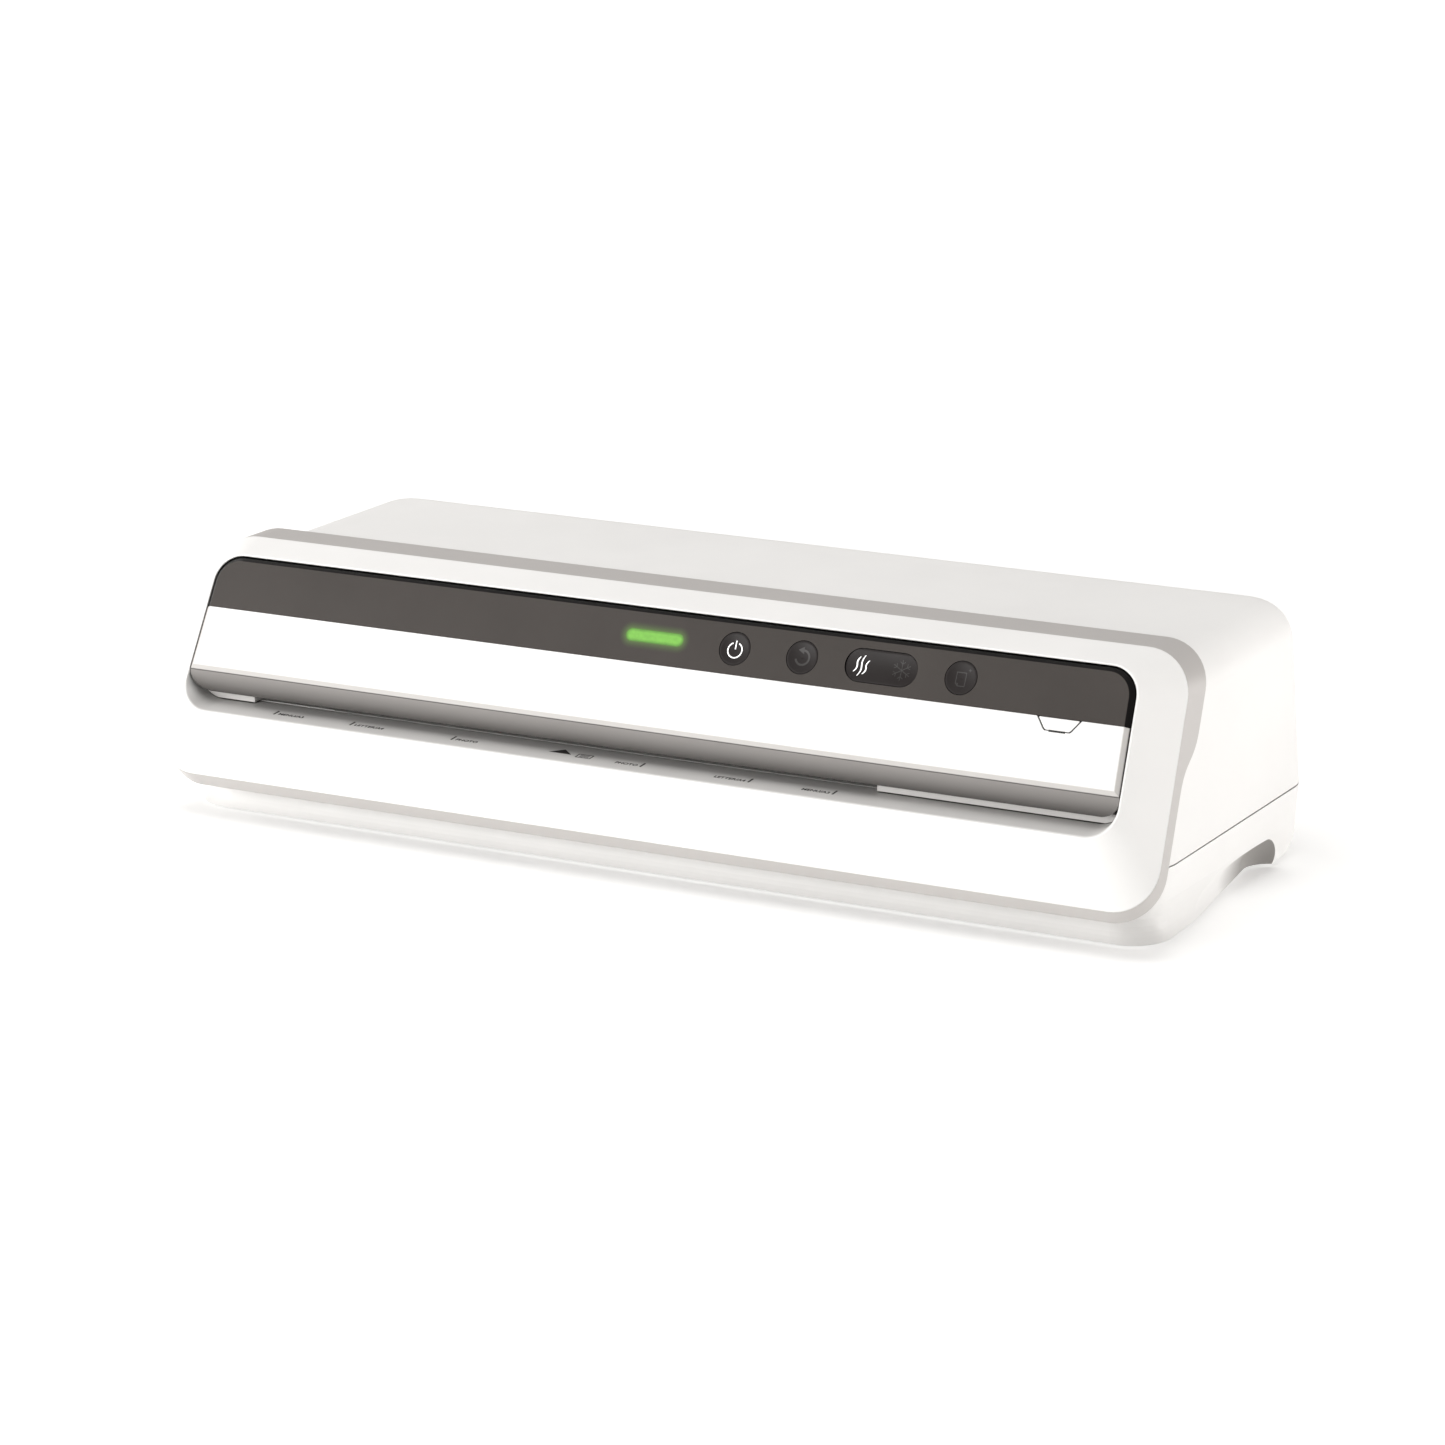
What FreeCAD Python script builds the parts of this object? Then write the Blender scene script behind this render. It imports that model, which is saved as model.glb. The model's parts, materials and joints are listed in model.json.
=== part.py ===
import FreeCAD, Part
import math
import os
import re
import Sketcher

# A3 pouch laminator: casing, sloping bezel, control panel, feed path, heating plates, rollers,
# gear drive, boards and feet.  Millimetres, +Z up, X across the width, front towards -Y.
# Lengths along y are counted from the front edge of the bezel and heights from the casing's
# underside; the frame of the whole part has its origin on the floor under the middle of its box.

V = FreeCAD.Vector
doc = FreeCAD.newDocument("pouch_laminator")
sheet = doc.addObject("Spreadsheet::Sheet", "Dims")

DIMENSIONS = [
    ("front_y", -107.75, "front edge of the bezel in the part's frame"),
    ("foot_lift", 1.6, "height of the rubber feet under the casing"),
    ("lean", 27, "angle of the bezel face from the vertical, degrees"),
    ("face_z", 55.6, "height of the face's zero line at the front edge"),
    ("window_low", -0.5, "lower edge of the window, along the face"),
    ("window_high", 76.65, "upper edge of the window, along the face"),
    ("window_half_low", 245.3, "half width of the window at its lower edge"),
    ("window_half_high", 241.8, "half width of the window at its upper edge"),
    ("window_corner", 14, "corner radius of the window"),
    ("lip_round", 0.9, "rounding of the window's edge"),
    ("rim_back", 19.2, "depth of the rim behind the window, square to the face"),
    ("rim_low", -29.2, "lower edge of the rim, along the face"),
    ("rim_high", 91.5, "upper edge of the rim, along the face"),
    ("rim_half_low", 263.5, "half width of the rim at its lower edge"),
    ("rim_half_high", 257.8, "half width of the rim at its upper edge"),
    ("rim_corner_low", 20.5, "lower corner radius of the rim"),
    ("rim_corner_high", 23.2, "upper corner radius of the rim"),
    ("band_deep", 18.5, "depth of the band at the top, square to the face"),
    ("band_shallow", 8.8, "depth of the band at the bottom, square to the face"),
    ("band_flare", 6.9, "how far the band's back edge drops below the rim"),
    ("band_rise", 9.4, "how far the band's back edge rises above the rim"),
    ("band_curve_low", 29.3, "lower end of the band's side curve, along the face"),
    ("band_curve_high", 61.2, "upper end of the band's side curve, along the face"),
    ("wall", 2.5, "wall thickness of the mouldings"),
    ("shelf_slope", 4, "rise of the feed shelf, degrees"),
    ("shelf_depth", 22.4, "depth of the feed shelf"),
    ("stop_front", 17.3, "front of the blocks that bound the feed slot"),
    ("insert_proud", 1.6, "how far the insert stands out of the window"),
    ("insert_gap", 0.5, "gap between the insert and the window"),
    ("insert_bevel", 2.3, "width of the insert's bevel"),
    ("insert_bevel_deep", 2, "depth of the insert's bevel"),
    ("insert_corner", 12, "corner radius of the insert"),
    ("insert_low", 5.8, "lower edge of the insert, along the face"),
    ("strip_low", 50, "lower edge of the control strip, along the face"),
    ("strip_gap", 0.15, "gap between the strip and the panel"),
    ("panel_low", 21.15, "lower edge of the panel's face"),
    ("jaw_high", 18.65, "upper edge of the jaw"),
    ("plate_thick", 4, "thickness of the panel and the strip"),
    ("control_line", 62.4, "centre line of the controls, along the face"),
    ("button_radius", 7.7, "radius of a round button"),
    ("button_gap", 0.3, "gap round a button"),
    ("button_flange", 1.5, "how far a button's flange reaches past its cap"),
    ("power_x", 44.1, "centre of the power button"),
    ("reverse_x", 78.7, "centre of the reverse button"),
    ("rocker_x", 118.7, "centre of the hot and cold rocker"),
    ("rocker_half", 10.2, "half distance between the rocker's round ends"),
    ("page_x", 158.5, "centre of the document button"),
    ("light_x", 2.2, "centre of the status light"),
    ("light_half", 12, "half distance between the light's round ends"),
    ("light_radius", 2.9, "radius of the light's round ends"),
    ("tab_x", 209.4, "centre of the release tab"),
    ("tab_half_high", 10.1, "half width of the tab at its top"),
    ("tab_half_low", 6, "half width of the tab at its foot"),
    ("tab_low", 44.3, "lower edge of the tab, along the face"),
    ("tab_gap", 0.45, "gap round the tab"),
    ("board_depth", 10, "back of the control board behind the face"),
    ("board_thick", 1.6, "thickness of a circuit board"),
    ("seam_z", 34, "height of the joint between base and cover"),
    ("seam_gap", 0.8, "height of the shadow groove under the joint"),
    ("seam_deep", 1.2, "depth of the shadow groove under the joint"),
    ("body_top", 122.3, "height of the cover's top"),
    ("body_front", 27, "front of the body behind the bezel"),
    ("body_rear", 215.8, "rear of the body at the joint"),
    ("body_rear_top", 210, "rear of the body at the top, before rounding"),
    ("body_half", 256.1, "half width of the body at the joint"),
    ("body_half_top", 251.8, "half width of the body at the top"),
    ("body_corner", 25, "plan radius of the body's rear corners"),
    ("body_corner_front", 20, "plan radius of the body's front corners"),
    ("top_round", 20, "rounding of the cover's top edges"),
    ("skirt_front", 22.5, "front of the skirt at its foot"),
    ("skirt_half", 257, "half width of the skirt's front at its foot"),
    ("skirt_half_rear", 251.5, "half width of the skirt's rear at its foot"),
    ("skirt_rear", 212, "rear of the skirt at its foot"),
    ("skirt_bulge", 4, "how far the rear half width grows from the foot to the waist"),
    ("skirt_bulge_rear", 3.4, "how far the rear moves back from the foot to the waist"),
    ("waist_z", 16, "height of the base's waist"),
    ("waist_half", 251, "half width of the base at its waist"),
    ("path_x", -45.5, "middle of the feed path"),
    ("slot_half", 167.5, "half width of the feed slot"),
    ("slot_low", 56.8, "height of the feed slot's floor"),
    ("slot_high", 61.4, "height of the feed slot's roof at the jaw"),
    ("nip_z", 59.3, "height of the rollers' nip"),
    ("roller_front", 58, "axis of the front rollers"),
    ("roller_rear", 124, "axis of the rear rollers"),
    ("roller_radius", 9.8, "outer radius of the rollers"),
    ("axis_half", 10, "height of a roller axis from the nip"),
    ("core_radius", 6, "radius of the roller cores"),
    ("journal_radius", 4, "radius of the shafts in their bushes"),
    ("running_gap", 0.06, "radial clearance of a running fit"),
    ("sleeve_half", 165, "half length of the rollers' rubber"),
    ("frame_half", 172, "half distance between the side frames"),
    ("frame_thick", 2, "thickness of the side frames"),
    ("frame_front", 34, "front edge of the side frames"),
    ("frame_rear", 186, "rear edge of the side frames"),
    ("frame_low", 2.7, "foot of the side frames"),
    ("frame_high", 96, "top of the side frames"),
    ("block_half", 7.7, "half width of an upper bearing block"),
    ("block_thick", 8, "thickness of an upper bearing block"),
    ("block_gap", 0.3, "clearance round an upper bearing block"),
    ("spring_radius", 4, "mean radius of a pressure spring"),
    ("spring_wire", 0.6, "wire radius of a pressure spring"),
    ("spring_length", 12, "length of a pressure spring"),
    ("gear_start", 10, "inner face of the roller gears past the frame"),
    ("gear_width", 7, "face width of the roller gears and the pinion"),
    ("gear_module", 1, "module of the gear train"),
    ("roller_teeth", 20, "teeth of a roller gear"),
    ("idler_teeth", 50, "teeth of the idler gear"),
    ("pinion_teeth", 16, "teeth of the motor pinion"),
    ("idler_width", 16, "face width of the idler gear"),
    ("heater_half", 166, "half length of the heating plates"),
    ("heater_front", 70, "front edge of the heating plates"),
    ("heater_rear", 112, "rear edge of the heating plates"),
    ("heater_gap", 1.2, "half gap between the heating plates"),
    ("heater_thick", 8, "thickness of a heating plate"),
    ("gland_x", 205, "centre of the cord gland"),
    ("gland_z", 22, "height of the cord gland"),
    ("gland_bore", 3.6, "bore radius of the cord gland"),
    ("foot_radius", 9, "radius of a rubber foot"),
]
for row, (alias, number, meaning) in enumerate(DIMENSIONS, 1):
    sheet.set("A%d" % row, alias)
    sheet.set("B%d" % row, str(number))
    sheet.setAlias("B%d" % row, alias)
    sheet.set("C%d" % row, meaning)
doc.recompute()

ALIASES = {alias for alias, number, meaning in DIMENSIONS}
D = {alias: float(sheet.get(alias)) for alias in ALIASES}
NODES = {}


# ---------------------------------------------------------------- document helpers

def formula(text):
    """Turn sheet names in a size into references to the sheet."""
    return re.sub(r"[a-z][a-z_]+", lambda word: "Dims." + word.group()
                  if word.group() in ALIASES else word.group(), str(text))


def bind(obj, prop, text):
    obj.setExpression(prop, formula(text))


def put(obj, x=0, y=0, z=0, rotation=None):
    """Place an object: y from the bezel's front edge, z from the casing's underside."""
    if rotation is not None:
        obj.Placement = FreeCAD.Placement(V(0, 0, 0), rotation)
    bind(obj, ".Placement.Base.x", x)
    bind(obj, ".Placement.Base.y", "front_y + (%s)" % y)
    bind(obj, ".Placement.Base.z", "foot_lift + (%s)" % z)
    return obj


def put_on_face(obj, x, along, out, rotation=None):
    """Place an object on the sloping face: along runs up the face, out stands off it."""
    rotation = rotation or FreeCAD.Rotation(V(1, 0, 0), 90 - D["lean"])
    return put(obj, x, "(%s) * sin(lean) - (%s) * cos(lean)" % (along, out),
               "face_z + (%s) * cos(lean) + (%s) * sin(lean)" % (along, out), rotation)


def box(length, width, height, x, y, z):
    obj = doc.addObject("Part::Box", "Box")
    for prop, text in (("Length", length), ("Width", width), ("Height", height)):
        bind(obj, prop, text)
    return put(obj, x, y, z)


TURN = {"x": FreeCAD.Rotation(V(0, 1, 0), 90), "y": FreeCAD.Rotation(V(1, 0, 0), -90),
        "z": FreeCAD.Rotation()}


def rod(axis, radius, length, x, y, z):
    """A cylinder along +x, +y or +z from its first end."""
    obj = doc.addObject("Part::Cylinder", "Rod")
    bind(obj, "Radius", radius)
    bind(obj, "Height", length)
    return put(obj, x, y, z, TURN[axis])


def face_rod(radius, low, high, x, along):
    """A cylinder square to the sloping face, from low to high."""
    obj = doc.addObject("Part::Cylinder", "FaceRod")
    bind(obj, "Radius", radius)
    bind(obj, "Height", "(%s) - (%s)" % (high, low))
    return put_on_face(obj, x, along, low)


def face_box(half, along_low, along_high, low, high, x):
    """A box square to the sloping face."""
    obj = doc.addObject("Part::Box", "FaceBox")
    bind(obj, "Length", "2 * (%s)" % half)
    bind(obj, "Width", "(%s) - (%s)" % (along_high, along_low))
    bind(obj, "Height", "(%s) - (%s)" % (high, low))
    return put_on_face(obj, "(%s) - (%s)" % (x, half), along_low, low)


def face_pill(half, radius, low, high, x, along):
    """A bar with round ends, square to the sloping face."""
    return fuse([face_box(half, "%s - (%s)" % (along, radius), "%s + (%s)" % (along, radius),
                          low, high, x),
                 face_rod(radius, low, high, "%s - (%s)" % (x, half), along),
                 face_rod(radius, low, high, "%s + (%s)" % (x, half), along)])


def face_axle(radius, length, out):
    """A cylinder along the sloping face, centred on the control line at the rocker."""
    obj = doc.addObject("Part::Cylinder", "FaceAxle")
    bind(obj, "Radius", radius)
    bind(obj, "Height", length)
    return put_on_face(obj, "rocker_x", "control_line - (%s) / 2" % length, out,
                       FreeCAD.Rotation(V(1, 0, 0), -D["lean"]))


def fuse(parts):
    obj = doc.addObject("Part::MultiFuse", "Fuse")
    obj.Shapes = parts
    return obj


def cut(base, tools):
    obj = doc.addObject("Part::Cut", "Cut")
    obj.Base = base
    obj.Tool = tools[0] if len(tools) == 1 else fuse(tools)
    return obj


def common(base, tool):
    obj = doc.addObject("Part::Common", "Common")
    obj.Base = base
    obj.Tool = tool
    return obj


def group(parts):
    obj = doc.addObject("Part::Compound", "Group")
    obj.Links = parts
    return obj


def feature(shape, name="Shell"):
    """A shape made with Part's own functions, in the casing's frame."""
    obj = doc.addObject("Part::Feature", name)
    obj.Shape = shape
    obj.Placement = FreeCAD.Placement(V(0, D["front_y"], D["foot_lift"]), FreeCAD.Rotation())
    return obj


def node(name, obj):
    """Name a finished sub-part."""
    obj.Label = name
    NODES[name] = obj
    return obj


def sketch_on(body, role, points, circles):
    """A sketch of one closed outline and round holes, each size bound to the sheet."""
    sketch = body.newObject("Sketcher::SketchObject", "Sketch")
    plane = [item for item in body.Origin.OriginFeatures if item.Role == role][0]
    sketch.AttachmentSupport = [(plane, "")]
    sketch.MapMode = "FlatFace"
    count = len(points)
    start = [V(50 * math.cos(2 * math.pi * k / count), 50 * math.sin(2 * math.pi * k / count), 0)
             for k in range(count)]
    for k in range(count):
        sketch.addGeometry(Part.LineSegment(start[k], start[(k + 1) % count]))
    for k in range(count):
        sketch.addConstraint(Sketcher.Constraint("Coincident", k, 2, (k + 1) % count, 1))
    for k, (across, up) in enumerate(points):
        pin(sketch, "DistanceX", k, 1, across, start[k].x)
        pin(sketch, "DistanceY", k, 1, up, start[k].y)
    for k, (across, up, radius) in enumerate(circles):
        sketch.addGeometry(Part.Circle(V(5, 5, 0), V(0, 0, 1), 3))
        pin(sketch, "DistanceX", count + k, 3, across, 5)
        pin(sketch, "DistanceY", count + k, 3, up, 5)
        index = sketch.addConstraint(Sketcher.Constraint("Radius", count + k, 3))
        bind(sketch, "Constraints[%d]" % index, radius)
    return sketch


def pin(sketch, kind, item, point, text, start):
    index = sketch.addConstraint(Sketcher.Constraint(kind, -1, 1, item, point, start))
    bind(sketch, "Constraints[%d]" % index, text)


def padded(points, length, x, circles=(), y=0, z=0):
    """A plate or bar of one section in y and z, padded along x."""
    body = doc.addObject("PartDesign::Body", "Padded")
    pad = body.newObject("PartDesign::Pad", "Pad")
    pad.Profile = sketch_on(body, "YZ_Plane", points, circles)
    bind(pad, "Length", length)
    return put(body, x, y, z)


def turned(profile, x, y, z):
    """A turned piece along x, from the half section's points (along, radius)."""
    body = doc.addObject("PartDesign::Body", "Turned")
    sketch = sketch_on(body, "XY_Plane", profile, ())
    turn = body.newObject("PartDesign::Revolution", "Turn")
    turn.Profile = sketch
    turn.ReferenceAxis = (sketch, ["H_Axis"])
    turn.Angle = 360
    return put(body, x, y, z)


# ---------------------------------------------------------------- shape helpers

LEAN = math.radians(D["lean"])


def on_face(x, along, out):
    """A point given on the sloping face, in the casing's frame."""
    return V(x, along * math.sin(LEAN) - out * math.cos(LEAN),
             D["face_z"] + along * math.cos(LEAN) + out * math.sin(LEAN))


def rounded_wire(corners, radii, place):
    """A closed outline through corners, each rounded by its radius, placed by place(u, v)."""
    arcs = []
    for k, (corner, radius) in enumerate(zip(corners, radii)):
        here = V(corner[0], corner[1], 0)
        before = V(*corners[k - 1], 0) - here
        after = V(*corners[(k + 1) % len(corners)], 0) - here
        before.normalize()
        after.normalize()
        half = before.getAngle(after) / 2
        middle = before + after
        middle.normalize()
        centre = here + middle * (radius / math.sin(half))
        reach = radius / math.tan(half)
        arcs.append((here + before * reach, centre - middle * radius, here + after * reach))
    edges = []
    for k, (first, top, last) in enumerate(arcs):
        ends = [place(point.x, point.y) for point in (first, top, last)]
        edges.append(Part.Arc(*ends).toShape())
        following = arcs[(k + 1) % len(arcs)][0]
        edges.append(Part.LineSegment(ends[2], place(following.x, following.y)).toShape())
    return Part.Wire(edges)


def face_outline(low, high, half_low, half_high, radius_low, radius_high, out):
    """A rounded trapezoid on a plane parallel to the face."""
    corners = [(-half_low, low), (half_low, low), (half_high, high), (-half_high, high)]
    radii = [radius_low, radius_low, radius_high, radius_high]
    return rounded_wire(corners, radii, lambda x, along: on_face(x, along, out))


def loft(wires, ruled=True):
    return Part.makeLoft(wires, True, ruled)


def sweep_back(wire, depth, ahead=0):
    """Push an outline on the face back along the feed shelf's slope, from a little ahead of it."""
    way = V(0, 1, math.tan(math.radians(D["shelf_slope"])))
    face = Part.Face(wire)
    face.translate(way * -ahead)
    return face.extrude(way * (depth + ahead))


def side_prism(edges, half=300, middle=0):
    """A section given by edges in the y-z plane, carried across the width."""
    face = Part.Face(Part.Wire(edges))
    face.translate(V(middle - half, 0, 0))
    return face.extrude(V(2 * half, 0, 0))


def polyline(points):
    return [Part.LineSegment(a, b).toShape() for a, b in zip(points, points[1:] + points[:1])]


def window_outline(grow, out, lift=0):
    """The window's outline, grown by a margin and lifted along the face."""
    return face_outline(D["window_low"] - grow + lift, D["window_high"] + grow + lift,
                        D["window_half_low"] + grow, D["window_half_high"] + grow,
                        D["window_corner"] + grow, D["window_corner"] + grow, out)


def rim_outline(grow, out, flare=0):
    """The rim's outline; flare goes from 0 at the rim to 1 at the band's back edge."""
    return face_outline(D["rim_low"] - grow - flare * D["band_flare"],
                        D["rim_high"] + grow + flare * D["band_rise"],
                        D["rim_half_low"] + grow + flare * 0.6, D["rim_half_high"] + grow,
                        D["rim_corner_low"] + grow + flare * 4.5, D["rim_corner_high"] + grow, out)


def plan_section(z, half_front, half_rear, front, rear, front_radius, rear_radius):
    corners = [(-half_front, front), (half_front, front), (half_rear, rear), (-half_rear, rear)]
    radii = [front_radius, front_radius, rear_radius, rear_radius]
    return rounded_wire(corners, radii, lambda x, y: V(x, y, z))


def cover_solid(grow, bottom=None):
    """The upper body as a solid, grown by a margin, with its top edges rounded."""
    bottom = D["seam_z"] if bottom is None else bottom
    top = D["body_top"] + grow
    slope = (D["body_rear_top"] - D["body_rear"]) / (D["body_top"] - D["seam_z"])
    narrow = (D["body_half_top"] - D["body_half"]) / (D["body_top"] - D["seam_z"])
    wires = []
    for z in (bottom, top):
        half = D["body_half"] + narrow * (z - D["seam_z"]) + grow
        rear = D["body_rear"] + slope * (z - D["seam_z"]) + grow
        wires.append(plan_section(z, half, half, D["body_front"] - grow, rear,
                                  D["body_corner_front"] + grow, D["body_corner"] + grow))
    solid = loft(wires)
    edges = []
    for edge in solid.Edges:
        middle = edge.valueAt((edge.FirstParameter + edge.LastParameter) / 2)
        if edge.BoundBox.ZMin > top - 0.01 and middle.y > D["body_front"] + 40:
            edges.append(edge)
    return solid.makeFillet(D["top_round"] + grow, edges)


def base_solid(grow):
    """The lower body as a solid, grown by a margin: a flared skirt under a narrow waist."""
    waist = D["waist_z"]
    front_reach = D["body_front"] - D["skirt_front"]
    wires = []
    for share in (0, 0.08, 0.18, 0.3, 0.45, 0.65, 1):
        fall = (1 - share) ** 2.6
        tuck = 1 - (1 - share) ** 3
        half_front = D["waist_half"] + (D["skirt_half"] - D["waist_half"]) * fall + 1.2 * share
        half_rear = D["skirt_half_rear"] + D["skirt_bulge"] * tuck
        front = D["body_front"] - front_reach * fall
        rear = D["skirt_rear"] + D["skirt_bulge_rear"] * tuck
        wires.append(body_section(share * waist, half_front, half_rear, front, rear, grow))
    wires.append(body_section(D["seam_z"], D["body_half"], D["body_half"], D["body_front"],
                              D["body_rear"], grow))
    return loft(wires)


def body_section(z, half_front, half_rear, front, rear, grow):
    return plan_section(z, half_front + grow, half_rear + grow, front - grow, rear + grow,
                        D["body_corner_front"] + grow, D["body_corner"] + grow)


def behind_face(out, depth=300):
    """Everything behind a plane parallel to the face."""
    points = [on_face(0, -150, out), on_face(0, 150, out), on_face(0, 150, out - depth),
              on_face(0, -150, out - depth)]
    return side_prism(polyline(points))


# ---------------------------------------------------------------- bezel and band

def front_bezel():
    """White frame: a hollow frustum round the window, with the feed shelf as its return wall."""
    rim = -D["rim_back"]
    skin = D["wall"]
    lip = D["lip_round"]
    shear = math.tan(LEAN + math.radians(D["shelf_slope"]))
    outer = loft([window_outline(0, -lip, lip * shear),
                  window_outline(0.2 * lip, -0.3 * lip, 0.3 * lip * shear),
                  window_outline(0.7 * lip, 0), window_outline(1.5 * lip, -0.15 * lip),
                  rim_outline(0, rim)])
    window = sweep_back(window_outline(0, 0), 60, 8)
    shell = outer.cut(window)
    inner = loft([window_outline(skin, -skin * 0.8), rim_outline(-skin, rim - 0.01)])
    back = outer.fuse(Part.Face(rim_outline(0, rim)).extrude(on_face(0, 0, -30) - on_face(0, 0, 0)))
    tunnel = sweep_back(window_outline(skin, 0), D["shelf_depth"]).cut(window).common(back)
    hollow = shell.cut(inner.cut(sweep_back(window_outline(skin, 0), 60, 8)))
    behind_lip = behind_face(-2 * D["lip_round"])
    return feature(hollow.fuse(tunnel.common(behind_lip)).removeSplitter())


def band_profile(shift, half=300):
    """Section of the band from the rim back to its S-shaped edge, as a slab across the width."""
    rim = -D["rim_back"]
    deep = rim - D["band_deep"] + shift
    shallow = rim - D["band_shallow"] + shift
    low, high = D["band_curve_low"], D["band_curve_high"]
    middle = (low + high) / 2
    curve = Part.BezierCurve()
    curve.setPoles([on_face(0, high, deep), on_face(0, middle, deep),
                    on_face(0, middle, shallow), on_face(0, low, shallow)])
    corners = [on_face(0, low, shallow), on_face(0, -70, shallow), on_face(0, -70, rim),
               on_face(0, 140, rim), on_face(0, 140, deep), on_face(0, high, deep)]
    edges = polyline(corners)[:-1] + [curve.toShape()]
    return side_prism(edges, half)


def bezel_band():
    """Grey trim ring behind the bezel, closed against the body at its back."""
    rim = -D["rim_back"]
    back = rim - D["band_deep"]
    outer = loft([rim_outline(0, rim), rim_outline(0, back, 1)])
    inner = loft([rim_outline(-D["wall"], rim), rim_outline(-D["wall"], back, 1)])
    ring = outer.common(band_profile(0)).cut(inner.common(band_profile(D["wall"])))
    body = cover_solid(D["button_gap"], 20)
    shelf = sweep_back(window_outline(D["wall"] + 0.4, 0), D["shelf_depth"] + 0.4)
    return feature(ring.cut(body).cut(shelf))


# ---------------------------------------------------------------- insert in the window

def insert_outline(inset, out):
    return face_outline(D["insert_low"], D["window_high"] - inset, D["window_half_low"] - inset,
                        D["window_half_high"] - inset, D["insert_corner"], D["window_corner"] - inset, out)


def insert_solid():
    """The whole bevelled insert, before it is split into strip, panel and jaw."""
    gap = D["insert_gap"]
    proud = D["insert_proud"]
    base = proud - D["insert_bevel_deep"]
    front = loft([insert_outline(gap + D["insert_bevel"], proud), insert_outline(gap, base)])
    return front.fuse(sweep_back(insert_outline(gap, base), 22))


def slab(low, high, back, bottom_step=0):
    """A slice of the insert between two lines along the face."""
    points = [on_face(0, high, 5), on_face(0, high, back), on_face(0, low, back)]
    points.append(on_face(0, low, D["insert_proud"] - D["insert_bevel_deep"]))
    points.append(on_face(0, low + bottom_step, D["insert_proud"]))
    points.append(on_face(0, low + bottom_step, 5))
    return side_prism(polyline(points))


def make_insert():
    insert = insert_solid()
    back = D["insert_proud"] - D["plate_thick"]
    strip_body = feature(insert.common(slab(D["strip_low"] + D["strip_gap"], 90, back)))
    hole = "button_radius + button_gap"
    round_holes = [face_rod(hole, -10, 5, x, "control_line") for x in ("power_x", "reverse_x", "page_x")]
    pills = [face_pill("rocker_half", hole, -10, 5, "rocker_x", "control_line"),
             face_pill("light_half", "light_radius + 0.1", -10, 5, "light_x", "control_line + 0.5")]
    pivot = "(insert_proud - plate_thick - 0.9)"
    lugs = [face_box(2.2, "control_line + %g" % low, "control_line + %g" % high, pivot + " - 1.8",
                     "insert_proud - plate_thick + 0.5", "rocker_x")
            for low, high in ((9.6, 11.4), (-11.4, -9.6))]
    plate = cut(strip_body, round_holes + pills)
    node("control_strip", cut(fuse([plate] + lugs), [face_axle(1.1, 30, pivot)]))

    panel_body = feature(insert.common(slab(D["jaw_high"] + 0.1, D["strip_low"], back,
                                            D["panel_low"] - D["jaw_high"])))
    node("front_panel", cut(panel_body, [feature(tab_solid(D["tab_gap"], -10, 5))]))
    node("release_tab", feature(tab_solid(0, back - 1.5, D["insert_proud"])))

    lip_y = 11.7
    high = on_face(0, D["jaw_high"], D["insert_proud"] - D["insert_bevel_deep"] - 0.05)
    lip = V(0, lip_y, D["slot_high"])
    rise = math.tan(math.radians(D["shelf_slope"]))
    under = V(0, 32, D["slot_high"] + (32 - lip_y) * rise)
    behind = on_face(0, D["jaw_high"] - 0.1, D["insert_proud"] - D["plate_thick"] - 0.3)
    corners = [lip, under, under + V(0, 0, 3), V(0, 20, behind.z), behind, high]
    curve = Part.Arc(high, V(0, 9.3, 66.6), lip).toShape()
    section = polyline(corners)[:-1] + [curve]
    jaw = insert.common(side_prism(section))
    node("slot_jaw", feature(jaw))


def tab_solid(grow, low, high):
    """The release tab: a small trapezoid hanging from the strip's lower edge."""
    x = D["tab_x"]
    top = D["strip_low"] - D["strip_gap"] + (3 if grow else 0)
    bottom = D["tab_low"] - grow
    slant = (D["tab_half_high"] - D["tab_half_low"]) / (D["strip_low"] - D["tab_low"])
    half_low = D["tab_half_low"] + grow * 1.2
    half_high = half_low + slant * (top - bottom)
    corners = [(x - half_low, bottom), (x + half_low, bottom), (x + half_high, top), (x - half_high, top)]
    wire = rounded_wire(corners, [1.6, 1.6, 0.3, 0.3], lambda u, v: on_face(u, v, low))
    return Part.Face(wire).extrude(on_face(0, 0, high) - on_face(0, 0, low))


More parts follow.
